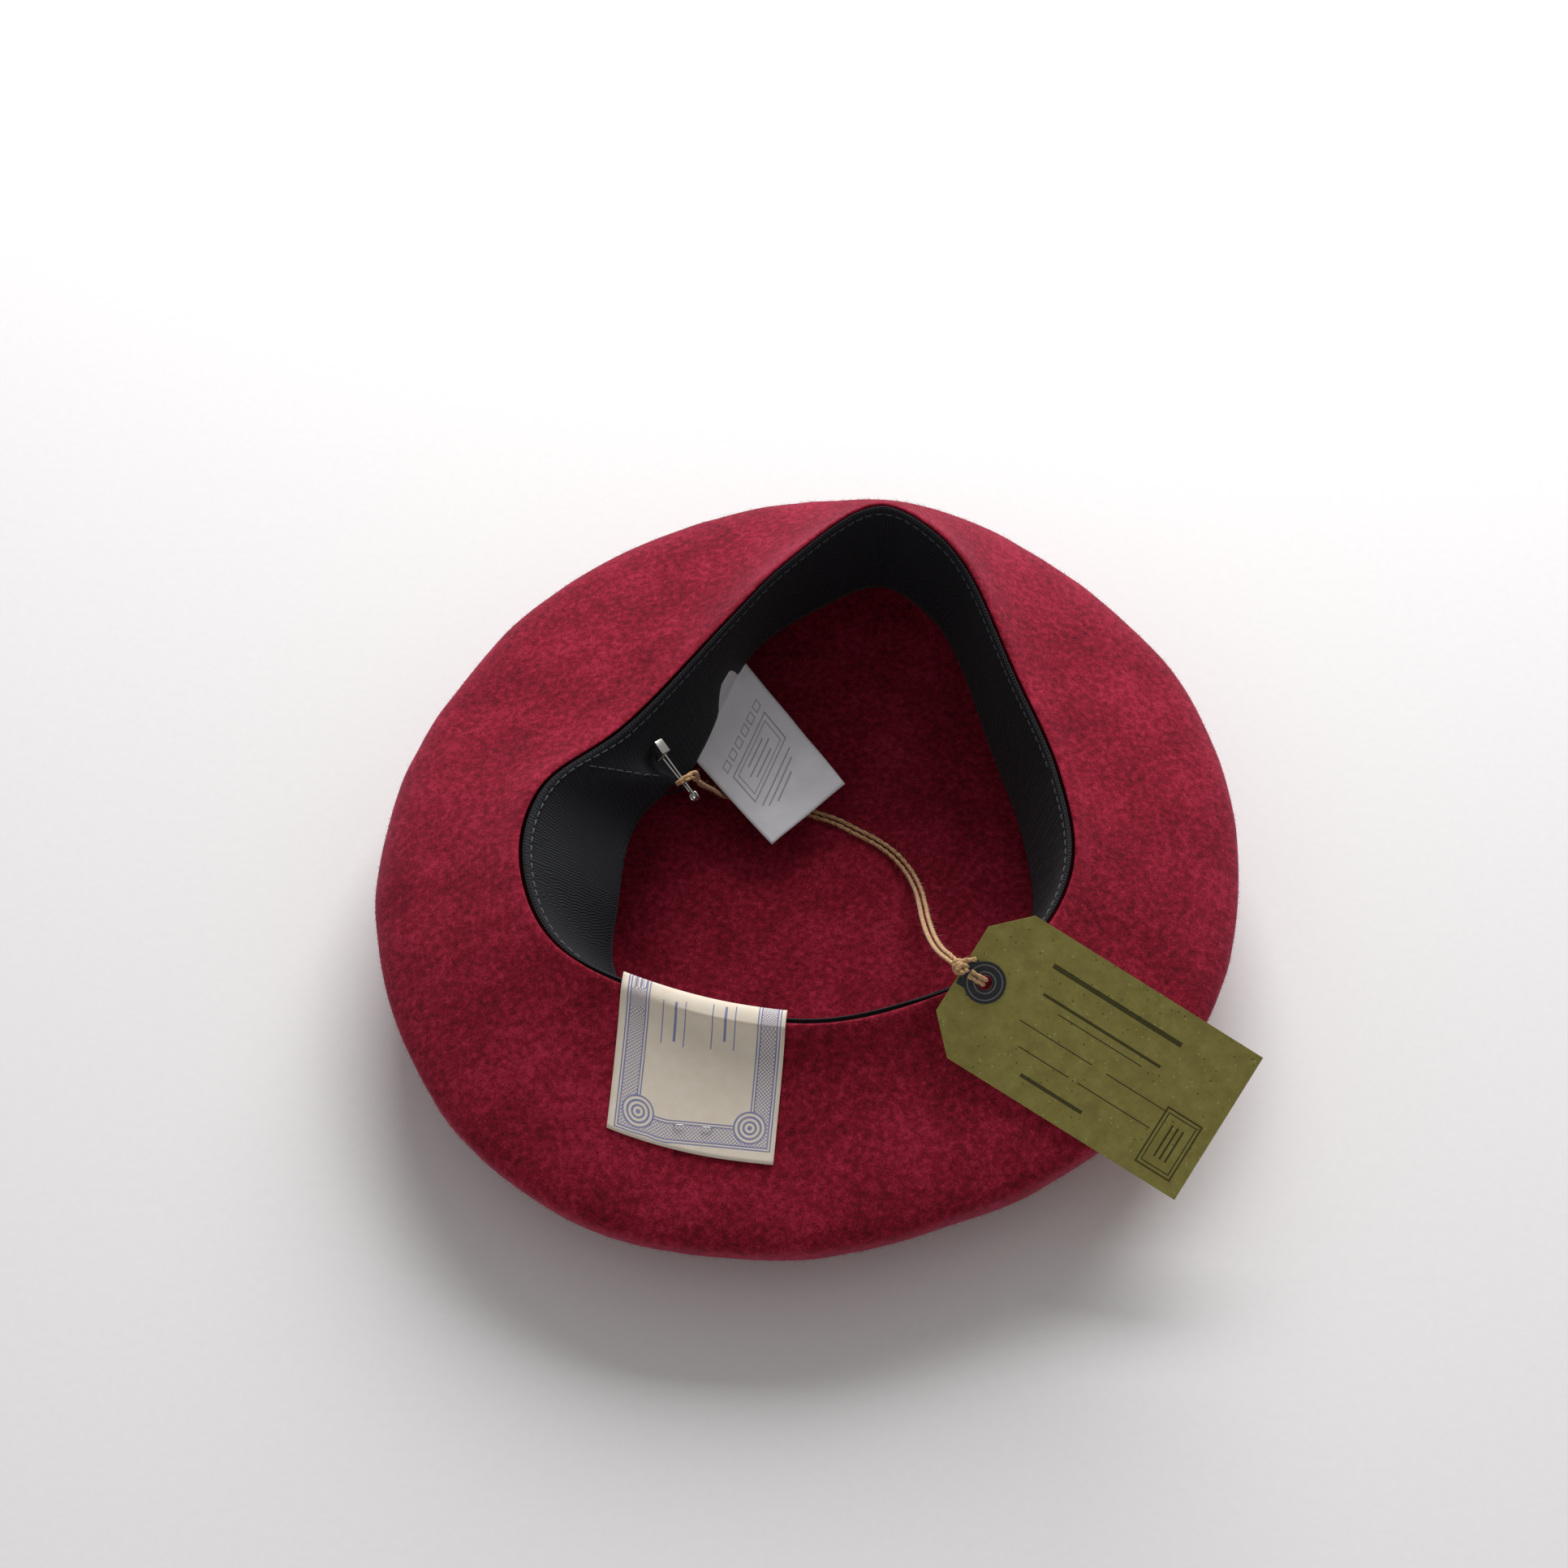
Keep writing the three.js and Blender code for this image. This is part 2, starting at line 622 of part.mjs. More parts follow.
// A round patch with a tongue that reaches the tag's short edge.
function buildPatch(height) {
  const radius = patchAcross / 2;
  const half = radius * 0.72;
  const start = Math.asin(half / radius);
  const patch = new THREE.Shape();
  patch.moveTo(tagEdge + 0.6, -half);
  patch.lineTo(eyeletX - radius * Math.cos(start), -half);
  patch.absarc(eyeletX, 0, radius, Math.PI + start, 3 * Math.PI - start, false);
  patch.lineTo(tagEdge + 0.6, half);
  patch.closePath();
  patch.holes.push(new THREE.Path().absarc(eyeletX, 0, eyeletAcross / 2, 0, 2 * Math.PI, true));
  return flatPiece(patch, patchThickness).translate(0, 0, height);
}

// The loop of twine from the knot through the eyelet and back round the tag's short edge.
function buildTagLoop() {
  const rim = knotAcross / 2 + gap;
  const back = tagTop - 2 * (patchThickness + gap) - tagThickness - gap - twineAcross / 2 - 0.4;
  const points = [
    [rim, 0.2], [rim + 2.2, 0.2], [eyeletX - 1.2, tagTop + 1.6], [eyeletX - 0.1, tagTop - 0.7],
    [eyeletX - 1.2, back + 0.6], [eyeletX - 3.4, back], [tagEdge, back], [tagEdge - 1.9, back + 0.9],
    [-0.75, -rim - twineAcross / 2 - 1.2], [-0.5, -rim - 0.35],
  ];
  return bar(smoothCurve(points.map(([x, z]) => vector(x, 0, z))), twineAcross, 26);
}

// ---------------------------------------------------------------- twine

// The doubled twine: from the knot down to the crown, up to the pin, round its upper wire and back.
const twineWay = [
  [42, -69, 73.5], [40, -60.4, 64], [38.4, -47.6, 51], [37.5, -32, 36.5], [37.4, -18.2, 23.5],
  [36.6, -4.5, 12.5], [33.7, 7, 6.2], [29, 14.8, 4.3], [23.5, 19.8, 4], [16.6, 24.2, 4], [9.7, 28.4, 4],
  [2.7, 31, 4.2], [-5.7, 33.8, 5], [-14.1, 35.6, 7.2], [-21.8, 35, 10.4], [-28.5, 31, 16],
  [-33, 26.8, 26], [-35.4, 21, 36.5],
];
const twineSpread = 1.05;

function twinePath() {
  const middle = twineWay.map(([x, y, z]) => vector(x, y, z));
  const side = (i) => {
    const along = middle[Math.min(i + 1, middle.length - 1)].clone().sub(middle[Math.max(i - 1, 0)]);
    return vector(-along.y, along.x, 0).normalize();
  };
  const strand = (sign) => middle.map((point, i) => (
    point.clone().addScaledVector(side(i), sign * twineSpread)));
  const upper = pinGap / 2;
  const eye = [
    pinPlace(6, upper + 1.7, 4.4), pinPlace(6, upper + 2.6, 1.6), pinPlace(6, upper + 1.9, -1.6),
    pinPlace(6, upper - 0.2, -2.7), pinPlace(6, upper - 1.7, -0.8), pinPlace(6, upper - 1.9, 2.4),
    pinPlace(6, upper - 2.4, 4.6),
  ];
  return smoothCurve([...strand(-1), ...eye, ...strand(1).reverse()]);
}

// ---------------------------------------------------------------- the assembly

const felt = '#7d1327';
const ribbon = '#17181c';
const steel = '#b9bcc2';
const jute = '#c9a878';

add('felt_body', pierced(buildFelt(), stapleHoles(), stapleWire + 2 * holeGap), felt, 0.95);
add('sweatband', buildBand(), ribbon, 0.8);
add('band_thread', buildRimThread(), ribbon, 0.7);
add('join_thread', buildJoinThread(), ribbon, 0.7);
add('size_label', buildSizeLabel(stapleHoles()), '#e9dfce', 0.85);
add('staple', buildStaple(), steel, 0.3, 1);
add('care_label', buildCareLeaf(), '#e6e4e6', 0.5);
add('care_label_tab', buildCareTab(), '#e6e4e6', 0.5);
add('care_label_thread', buildCareThread(), '#e6e4e6', 0.7);
add('pin_wire', buildPinWire(), steel, 0.3, 1);
add('pin_cap', buildPinCap(), steel, 0.3, 1);
add('hang_tag', buildTag(), '#8a8a3c', 0.9, 0, tagGroup);
add('tag_patch_front', buildPatch(tagTop - patchThickness), '#26272b', 0.8, 0, tagGroup);
const patchBack = tagTop - 2 * (patchThickness + gap) - tagThickness;
add('tag_patch_back', buildPatch(patchBack), '#26272b', 0.8, 0, tagGroup);
add('tag_loop', buildTagLoop(), jute, 0.9, 0, tagGroup);
const knot = new THREE.SphereGeometry(knotAcross / 2, 14, 10);
add('tag_knot', knot, jute, 0.9, 0, tagGroup);
const twine = add('twine', bar(twinePath(), twineAcross, 80), jute, 0.9);

// The origin is the middle of the footprint of everything but the twine.
const footprint = new THREE.Box3();
model.updateMatrixWorld(true);
model.traverse((piece) => {
  if (piece.isMesh && piece !== twine) footprint.expandByObject(piece, true);
});
const middle = footprint.getCenter(new THREE.Vector3());
model.position.set(-middle.x, -middle.y, 0);

const beret = new THREE.Group();
beret.add(model);

export default beret;
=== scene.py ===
"""The finish of a felt beret lying on its crown, built round its packed construction model.

Lengths are metres in the model's own frame: +Z up out of the head opening, +X towards the hang tag.
"""

import json
import math
import random

import bmesh
import bpy
import numpy as np
from bpy.props import FloatProperty, FloatVectorProperty, IntProperty, PointerProperty
from mathutils import Matrix, Vector, noise
from mathutils.bvhtree import BVHTree
from mathutils.kdtree import KDTree

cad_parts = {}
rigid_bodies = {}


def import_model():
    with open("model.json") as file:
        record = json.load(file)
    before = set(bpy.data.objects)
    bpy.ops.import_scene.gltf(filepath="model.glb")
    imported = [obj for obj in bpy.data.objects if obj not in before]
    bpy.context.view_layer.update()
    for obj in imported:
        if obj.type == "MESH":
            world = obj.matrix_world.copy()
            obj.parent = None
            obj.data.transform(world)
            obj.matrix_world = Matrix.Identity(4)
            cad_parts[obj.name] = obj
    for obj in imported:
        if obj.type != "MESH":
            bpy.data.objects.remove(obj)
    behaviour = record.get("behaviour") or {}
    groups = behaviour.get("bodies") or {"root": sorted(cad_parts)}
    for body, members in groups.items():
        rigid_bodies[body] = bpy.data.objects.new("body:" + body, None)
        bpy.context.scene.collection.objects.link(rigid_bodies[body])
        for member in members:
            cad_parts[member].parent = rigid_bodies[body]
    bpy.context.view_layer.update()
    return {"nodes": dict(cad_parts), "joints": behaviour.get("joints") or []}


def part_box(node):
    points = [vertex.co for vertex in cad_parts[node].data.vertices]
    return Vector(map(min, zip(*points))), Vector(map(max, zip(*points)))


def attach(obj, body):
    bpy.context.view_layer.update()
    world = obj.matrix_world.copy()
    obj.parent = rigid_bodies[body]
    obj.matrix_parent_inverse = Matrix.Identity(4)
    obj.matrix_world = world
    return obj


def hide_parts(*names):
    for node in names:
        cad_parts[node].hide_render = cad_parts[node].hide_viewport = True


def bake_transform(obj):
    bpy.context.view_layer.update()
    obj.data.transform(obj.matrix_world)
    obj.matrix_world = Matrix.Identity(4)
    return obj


bl_info = {
    "name": "Felt beret finish",
    "version": (1, 0, 0),
    "blender": (4, 5, 0),
    "location": "3D View > Sidebar > Beret",
    "description": "Builds the felt, ribbon, labels, pin, twine and tag of a beret",
    "category": "Object",
}

for left_over in list(bpy.data.objects):
    bpy.data.objects.remove(left_over)
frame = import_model()
NODES = frame["nodes"]
JOINTS = {joint["name"]: joint for joint in frame["joints"]}
MM = 0.001

# The middle of the doubled twine, from the knot down to the crown and up to the pin.
TWINE_WAY = [
    (0.0420, -0.0637, 0.0735), (0.0400, -0.0551, 0.0640), (0.0384, -0.0423, 0.0510),
    (0.0375, -0.0267, 0.0365), (0.0374, -0.0129, 0.0235), (0.0366, 0.0008, 0.0125),
    (0.0337, 0.0123, 0.0062), (0.0290, 0.0201, 0.0043), (0.0235, 0.0251, 0.0040),
    (0.0166, 0.0295, 0.0040), (0.0097, 0.0337, 0.0040), (0.0027, 0.0363, 0.0042),
    (-0.0057, 0.0391, 0.0050), (-0.0141, 0.0409, 0.0072), (-0.0218, 0.0403, 0.0104),
    (-0.0285, 0.0363, 0.0160), (-0.0330, 0.0321, 0.0260), (-0.0354, 0.0263, 0.0365),
]
# The turn of the twine round the pin's upper wire.
TWINE_EYE = [
    (-0.0375, 0.0220, 0.0498), (-0.0390, 0.0201, 0.0514), (-0.0415, 0.0180, 0.0517),
    (-0.0432, 0.0174, 0.0501), (-0.0425, 0.0188, 0.0482), (-0.0404, 0.0209, 0.0471),
    (-0.0390, 0.0224, 0.0461),
]
TWINE_SPREAD = 1.05 * MM
# The loop from the knot through the tag's eyelet and back round its short edge.
LOOP_WAY = [
    (0.0480, -0.0705, 0.0752), (0.0499, -0.0715, 0.0745), (0.0519, -0.0713, 0.0722),
    (0.0528, -0.0705, 0.0699), (0.0519, -0.0690, 0.0689), (0.0500, -0.0677, 0.0690),
    (0.0461, -0.0657, 0.0704), (0.0445, -0.0654, 0.0717), (0.0448, -0.0667, 0.0732),
]
TAG_FRAME = Matrix.Rotation(math.radians(35), 3, "X") @ Matrix.Rotation(math.radians(-32), 3, "Z")


# ---------------------------------------------------------------- small helpers


def linear(code):
    """An sRGB hex colour as linear red, green, blue and alpha."""
    shares = [int(code[i:i + 2], 16) / 255 for i in (1, 3, 5)]
    return [s / 12.92 if s <= 0.04045 else ((s + 0.055) / 1.055) ** 2.4 for s in shares] + [1.0]


def middle_of(node):
    low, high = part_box(node)
    return (low + high) / 2


def add_node(tree, kind, values=None, links=None, **settings):
    """Adds a shader node, sets its settings and socket values, and links its inputs."""
    node = tree.nodes.new("ShaderNode" + kind)
    for name, value in settings.items():
        setattr(node, name, value)
    for socket, value in (values or {}).items():
        node.inputs[socket].default_value = value
    for socket, source in (links or {}).items():
        tree.links.new(source, node.inputs[socket])
    return node


def ramped(tree, share, stops):
    """The colour that a ramp with the given (place, linear colour) stops has at a share."""
    node = add_node(tree, "ValToRGB", links={"Fac": share})
    elements = node.color_ramp.elements
    while len(elements) < len(stops):
        elements.new(0.5)
    for element, (place, colour) in zip(elements, stops):
        element.position = place
        element.color = colour
    return node.outputs["Color"]


def new_material(name, **shader):
    """A material with one Principled shader, whose plain sockets are set here."""
    material = bpy.data.materials.new(name)
    material.use_nodes = True
    tree = material.node_tree
    principled = tree.nodes["Principled BSDF"]
    for socket, value in shader.items():
        principled.inputs[socket.replace("_", " ")].default_value = value
    return material, tree, principled


def calculate(tree, operation, *sides):
    """A Math node's result; each side is a socket or a number."""
    values = {i: side for i, side in enumerate(sides) if isinstance(side, (int, float))}
    links = {i: side for i, side in enumerate(sides) if not isinstance(side, (int, float))}
    return add_node(tree, "Math", values, links, operation=operation).outputs[0]


def own_place(tree):
    """The piece's own coordinates, in metres."""
    return add_node(tree, "TexCoord").outputs["Object"]


def map_place(tree, name):
    """One of the piece's maps, in metres, and its two coordinates."""
    chart = add_node(tree, "UVMap", uv_map=name).outputs["UV"]
    parts = add_node(tree, "SeparateXYZ", links={"Vector": chart})
    return chart, parts.outputs["X"], parts.outputs["Y"]


def grain(tree, place, size, **values):
    """A noise whose clumps are about as wide as the size."""
    node = add_node(tree, "TexNoise", {"Scale": 1 / size, **values}, {"Vector": place})
    return node.outputs["Fac"]


def waves(tree, value, pitch):
    """A sine of a value, repeated at the pitch."""
    return calculate(tree, "SINE", calculate(tree, "MULTIPLY", value, 2 * math.pi / pitch))


def distance(tree, off_u, off_v):
    """How far a place is from the one that its two offsets are measured from."""
    squares = [calculate(tree, "MULTIPLY", off, off) for off in (off_u, off_v)]
    return calculate(tree, "SQRT", calculate(tree, "ADD", *squares))


def set_surface(tree, shader, colour, height=None, strength=1.0, depth=MM):
    """Gives a shader its colour and, where there is a height, its relief."""
    tree.links.new(colour, shader.inputs["Base Color"])
    if height:
        bump = add_node(
            tree, "Bump", {"Strength": strength, "Distance": depth}, {"Height": height})
        tree.links.new(bump.outputs["Normal"], shader.inputs["Normal"])


def printed_lines(tree, value, places, width):
    """1 where a value is within half the width of one of the places, and 0 elsewhere."""
    mask = 0.0
    for place in places:
        offset = calculate(tree, "ABSOLUTE", calculate(tree, "SUBTRACT", value, place))
        mask = calculate(tree, "MAXIMUM", mask, calculate(tree, "LESS_THAN", offset, width / 2))
    return mask


def printed_boxes(tree, u, v, boxes):
    """1 inside any of the boxes (middle u, middle v, width, height), and 0 outside."""
    mask = 0.0
    for middle_u, middle_v, width, height in boxes:
        inside = calculate(
            tree, "MULTIPLY", printed_lines(tree, u, [middle_u], width),
            printed_lines(tree, v, [middle_v], height))
        mask = calculate(tree, "MAXIMUM", mask, inside)
    return mask


def printed_frame(middle_u, middle_v, width, height, line):
    """The four boxes of a plain ruled frame."""
    sides = []
    for way in (-1, 1):
        sides.append((middle_u + way * width / 2, middle_v, line, height + line))
        sides.append((middle_u, middle_v + way * height / 2, width + line, line))
    return sides


def mixed(tree, share, under, over):
    """One colour over another; each is a socket or a linear colour."""
    node = add_node(tree, "Mix", data_type="RGBA")
    for socket, value in ((0, share), (6, under), (7, over)):
        if isinstance(value, bpy.types.NodeSocket):
            tree.links.new(value, node.inputs[socket])
        else:
            node.inputs[socket].default_value = value
    return node.outputs[2]


def object_from(name, mesh, material=None, smooth=True):
    piece = bpy.data.objects.new(name, mesh)
    bpy.context.scene.collection.objects.link(piece)
    if material:
        mesh.materials.clear()
        mesh.materials.append(material)
    mesh.shade_smooth() if smooth else mesh.shade_flat()
    return piece


def settle(piece, body, slot, *replaced):
    """Says which body a finished piece rides on and what it stands for; its slot is not used."""
    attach(piece, body)
    if replaced:
        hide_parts(*replaced)
    return piece


def applied(piece):
    """The piece's mesh with its modifiers applied."""
    evaluated = piece.evaluated_get(bpy.context.evaluated_depsgraph_get())
    mesh = bpy.data.meshes.new_from_object(evaluated)
    piece.modifiers.clear()
    piece.data = mesh
    return piece


def mesh_from(shape, name):
    mesh = bpy.data.meshes.new(name)
    shape.to_mesh(mesh)
    shape.free()
    return mesh


def cad_copy(name, node, beside=(), sharp=None, levels=2, material=None):
    """A smooth copy of a CAD node, welded and subdivided, without its holes for other nodes."""
    shape = bmesh.new()
    shape.from_mesh(NODES[node].data)
    bmesh.ops.remove_doubles(shape, verts=shape.verts, dist=0.002 * MM)
    if beside:
        near = KDTree(sum(len(NODES[other].data.vertices) for other in beside))
        for other in beside:
            for vertex in NODES[other].data.vertices:
                near.insert(vertex.co, vertex.index)
        near.balance()
        holes = [vertex for vertex in shape.verts if near.find(vertex.co)[2] < 1.1 * MM]
        bmesh.ops.delete(shape, geom=holes, context="VERTS")
        bmesh.ops.holes_fill(shape, edges=shape.edges, sides=0)
    bmesh.ops.join_triangles(
        shape, faces=shape.faces, angle_face_threshold=math.radians(60),
        angle_shape_threshold=math.radians(80))
    if sharp:
        crease = shape.edges.layers.float.new("crease_edge")
        for edge in shape.edges:
            if len(edge.link_faces) == 2 and edge.calc_face_angle() > math.radians(sharp):
                edge[crease] = 1.0
    piece = object_from(name, mesh_from(shape, name), material)
    if levels:
        finer = piece.modifiers.new("Subdivision", "SUBSURF")
        finer.levels = levels
        finer.render_levels = levels
        applied(piece)
    return piece


def smooth_way(points, step, closed=False):
    """Points every step along a centripetal curve through the given points."""
    points = [Vector(p) for p in points]
    count = len(points)
    first = points[-1] if closed else points[0] * 2 - points[1]
    last = [points[0], points[1]] if closed else [points[-1] * 2 - points[-2]]
    run = [first, *points, *last]
    way = []
    for i in range(1, count + closed):
        p0, p1, p2, p3 = run[i - 1:i + 3]
        t1, t2, t3 = [max((b - a).length, 1e-7) ** 0.5 for a, b in ((p0, p1), (p1, p2), (p2, p3))]
        leave = ((p1 - p0) / t1 - (p2 - p0) / (t1 + t2) + (p2 - p1) / t2) * t2
        reach = ((p2 - p1) / t2 - (p3 - p1) / (t2 + t3) + (p3 - p2) / t3) * t2
        pieces = max(2, math.ceil((p2 - p1).length / step))
        for k in range(pieces):
            s = k / pieces
            way.append(
                p1 * (2 * s ** 3 - 3 * s ** 2 + 1) + leave * (s ** 3 - 2 * s ** 2 + s)
                + p2 * (3 * s ** 2 - 2 * s ** 3) + reach * (s ** 3 - s ** 2))
    return way if closed else way + [points[-1]]


def swept(name, ways, profile, material, turn=0.0, closed=False, radii=None):
    """A flat outline swept along each way and turned by so much for each metre."""
    outline = bpy.data.curves.new(name + "_section", "CURVE")
    outline.dimensions = "2D"
    ring = outline.splines.new("POLY")
    ring.points.add(len(profile) - 1)
    for point, (x, y) in zip(ring.points, profile):
        point.co = (x, y, 0, 1)
    ring.use_cyclic_u = True
    section = bpy.data.objects.new(name + "_section", outline)
    bpy.context.scene.collection.objects.link(section)
    curve = bpy.data.curves.new(name, "CURVE")
    curve.dimensions = "3D"
    curve.bevel_mode = "OBJECT"
    curve.bevel_object = section
    curve.use_fill_caps = True
    for way in ways:
        spline = curve.splines.new("POLY")
        spline.points.add(len(way) - 1)
        spline.use_cyclic_u = closed
        walked = 0.0
        for i, (point, place) in enumerate(zip(spline.points, way)):
            walked += (place - way[i - 1]).length if i else 0.0
            point.co = (*place, 1)
            point.tilt = walked * turn
            point.radius = radii(walked) if radii else 1.0
    carrier = bpy.data.objects.new(name + "_curve", curve)
    bpy.context.scene.collection.objects.link(carrier)
    bpy.context.view_layer.update()
    evaluated = carrier.evaluated_get(bpy.context.evaluated_depsgraph_get())
    mesh = bpy.data.meshes.new_from_object(evaluated)
    mesh.name = name
    bpy.data.objects.remove(carrier)
    bpy.data.objects.remove(section)
    shape = bmesh.new()
    shape.from_mesh(mesh)
    bmesh.ops.remove_doubles(shape, verts=shape.verts, dist=0.001 * MM)
    bmesh.ops.recalc_face_normals(shape, faces=shape.faces)
    shape.to_mesh(mesh)
    shape.free()
    return object_from(name, mesh, material)


def round_section(across, sides=8):
    turns = [2 * math.pi * i / sides for i in range(sides)]
    return [(across / 2 * math.cos(t), across / 2 * math.sin(t)) for t in turns]


def plied_section(across, sides=14):
    """The section of two plies side by side, inside the twine's diameter."""
    turns = [2 * math.pi * i / sides for i in range(sides)]
    reach = [across / 2 * (0.7 + 0.34 * abs(math.cos(t)) ** 1.2) for t in turns]
    return [(r * math.cos(t), r * math.sin(t)) for r, t in zip(reach, turns)]


def fibres(name, roots, material, across):
    """Fine closed fibres as three-sided spikes: each root is (place, tip)."""
    count = len(roots)
    base = np.array([root[0] for root in roots], float)
    tip = np.array([root[1] for root in roots], float)
    along = tip - base
    along /= np.linalg.norm(along, axis=1)[:, None]
    side = np.cross(along, np.array([0.31, 0.74, 0.6]))
    side /= np.linalg.norm(side, axis=1)[:, None]
    other = np.cross(along, side)
    corners = []
    for turn in (0, 2 * math.pi / 3, 4 * math.pi / 3):
        corners.append(base + across / 2 * (math.cos(turn) * side + math.sin(turn) * other))
    points = np.stack([*corners, tip], axis=1).reshape(-1, 3)
    first = 4 * np.arange(count)[:, None]
    faces = [first + np.array(face) for face in ((0, 2, 1), (0, 1, 3), (1, 2, 3), (2, 0, 3))]
    mesh = bpy.data.meshes.new(name)
    mesh.from_pydata(points.tolist(), [], np.concatenate(faces).tolist())
    return object_from(name, mesh, material, smooth=False)


def scattered(piece, count, seed, keep=None):
    """Seeded places on a mesh's faces, spread evenly by area, with their normals."""
    piece.data.calc_loop_triangles()
    triangles = piece.data.loop_triangles
    areas = np.zeros(len(triangles))
    triangles.foreach_get("area", areas)
    chance = np.random.default_rng(seed)
    chosen = chance.choice(len(triangles), size=count, p=areas / areas.sum())
    shares = chance.random((count, 2))
    places = []
    spots = [(vertex.co.copy(), vertex.normal.copy()) for vertex in piece.data.vertices]
    for k, (a, b) in zip(chosen.tolist(), shares.tolist()):
        if a + b > 1:
            a, b = 1 - a, 1 - b
        (p, m), (q, n), (r, o) = [spots[i] for i in triangles[k].vertices]
        place = p * (1 - a - b) + q * a + r * b
        if keep is None or keep(place):
            places.append((place, (m * (1 - a - b) + n * a + o * b).normalized()))
    return places


# ---------------------------------------------------------------- materials


def felt_material(look):
    # Wool fulled and brushed: matt, with a soft halo where the nap is seen edge on, and a
    # mottle of clumps: partly the felt's own tone, varying at random, and partly painted
    # shade down in the hollows between the clumps and painted light on the raised clumps.
    material, tree, shader = new_material(
        "fulled wool felt", Roughness=1.0, Specular_IOR_Level=0.15, Sheen_Weight=look.felt_sheen,
        Sheen_Roughness=0.45, Sheen_Tint=linear("#ff8fb0"))
    place = own_place(tree)
    clumps = grain(tree, place, 2.2 * MM, Detail=5.0, Roughness=0.68)
    patches = grain(tree, place, 20 * MM)
    fibre = grain(tree, place, 0.6 * MM)
    blend = calculate(tree, "MULTIPLY", clumps, 0.55)
    blend = calculate(tree, "MULTIPLY_ADD", patches, 0.2, blend)
    blend = calculate(tree, "MULTIPLY_ADD", fibre, 0.25, blend)
    # The ramp's dark stop is painted shade in the hollows of the relief, its light stop painted
    # light on the raised clumps, over the felt's random tone.
    colour = ramped(tree, blend, [
        (0.38, (*look.felt_dark_tone_and_painted_shade, 1)), (0.5, (*look.felt_colour, 1)), (0.62, (*look.felt_light_tone_and_painted_light, 1))])
    set_surface(tree, shader, colour, blend, 0.55, 0.5 * MM)
    return material


def nap_material(look):
    # Single raised wool fibres: paler than the cloth, because light passes through them.
    material, tree, shader = new_material(
        "raised wool fibre", Roughness=0.9, Specular_IOR_Level=0.1, Sheen_Weight=0.3)
    colour = ramped(tree, grain(tree, own_place(tree), 3 * MM), [
        (0.4, (*look.felt_colour, 1)), (0.62, (*look.nap_painted_glow, 1))])
    set_surface(tree, shader, colour)
    return material


def grosgrain_material(look):
    # Woven ribbon: fat weft ribs run straight across it, with a soft shine on each; the grooves
    # between the ribs are painted near black as painted shade, and the crests keep the ribbon's
    # colour.
    material, tree, shader = new_material(
        "grosgrain ribbon", Roughness=0.7, Specular_IOR_Level=0.25, Sheen_Weight=0.06,
        Sheen_Roughness=0.4)
    weave, around, across = map_place(tree, "Weave")
    ribs = calculate(tree, "MULTIPLY_ADD", waves(tree, around, look.rib_pitch), 0.5, 0.5)
    height = calculate(tree, "MULTIPLY_ADD", waves(tree, across, 0.55 * MM), 0.18, ribs)
    # Painted shade: near black down in the grooves between the ribs, the ribbon's colour on the
    # crests.
    ribs_and_painted_groove_shade = ramped(tree, height, [(0.0, linear("#0b0c0f")), (1.0, (*look.ribbon_colour, 1))])
    dust = calculate(tree, "MULTIPLY", grain(tree, weave, 9 * MM, Detail=4.0), 0.25)
    colour = mixed(tree, dust, ribs_and_painted_groove_shade, linear("#26282f"))
    set_surface(tree, shader, colour, height, 0.6, 0.25 * MM)
    return material


def thread_material(name, code):
    # Twisted sewing thread: fine plies, drawn as a noise that mixes a mid grey into the thread's
    # colour;
    # on the black thread this grey is painted light caught by the plies, on the white thread it
    # darkens it at random.
    material, tree, shader = new_material(name, Roughness=0.5, Sheen_Weight=0.2)
    plies = grain(tree, own_place(tree), 0.5 * MM, Detail=3.0)
    # Painted light on the black thread's plies; on the white thread the same grey is a random
    # darkening.
    colour = mixed(tree, plies, linear(code), linear("#5a5d66"))
    set_surface(tree, shader, colour, plies, 0.4, 0.1 * MM)
    return material


def jute_material():
    # Natural jute spun in two plies: straw to tan, matt; the darker end of its random tone also
    # lies where the same noise sinks the relief, as painted shade in those small hollows.
    material, tree, shader = new_material(
        "two-ply jute", Roughness=0.8, Specular_IOR_Level=0.3, Sheen_Weight=0.3)
    strand = grain(tree, own_place(tree), 0.7 * MM, Detail=4.0, Roughness=0.7)
    colour = ramped(tree, strand, [
        (0.3, linear("#8a6238")), (0.5, linear("#c79b68")), (0.7, linear("#ecd2a6"))])
    set_surface(tree, shader, colour, strand, 0.5, 0.2 * MM)
    return material


def metal_material(name, code, roughness):
    # Plated wire: mirror-like, broken up by fine drawing marks and handling.
    material, tree, shader = new_material(
        name, Base_Color=linear(code), Metallic=1.0, Roughness=roughness)
    spread = add_node(
        tree, "MapRange", {"To Min": roughness * 0.7, "To Max": roughness * 1.6},
        {"Value": grain(tree, own_place(tree), 0.8 * MM, Detail=3.0)})
    tree.links.new(spread.outputs["Result"], shader.inputs["Roughness"])
    return material


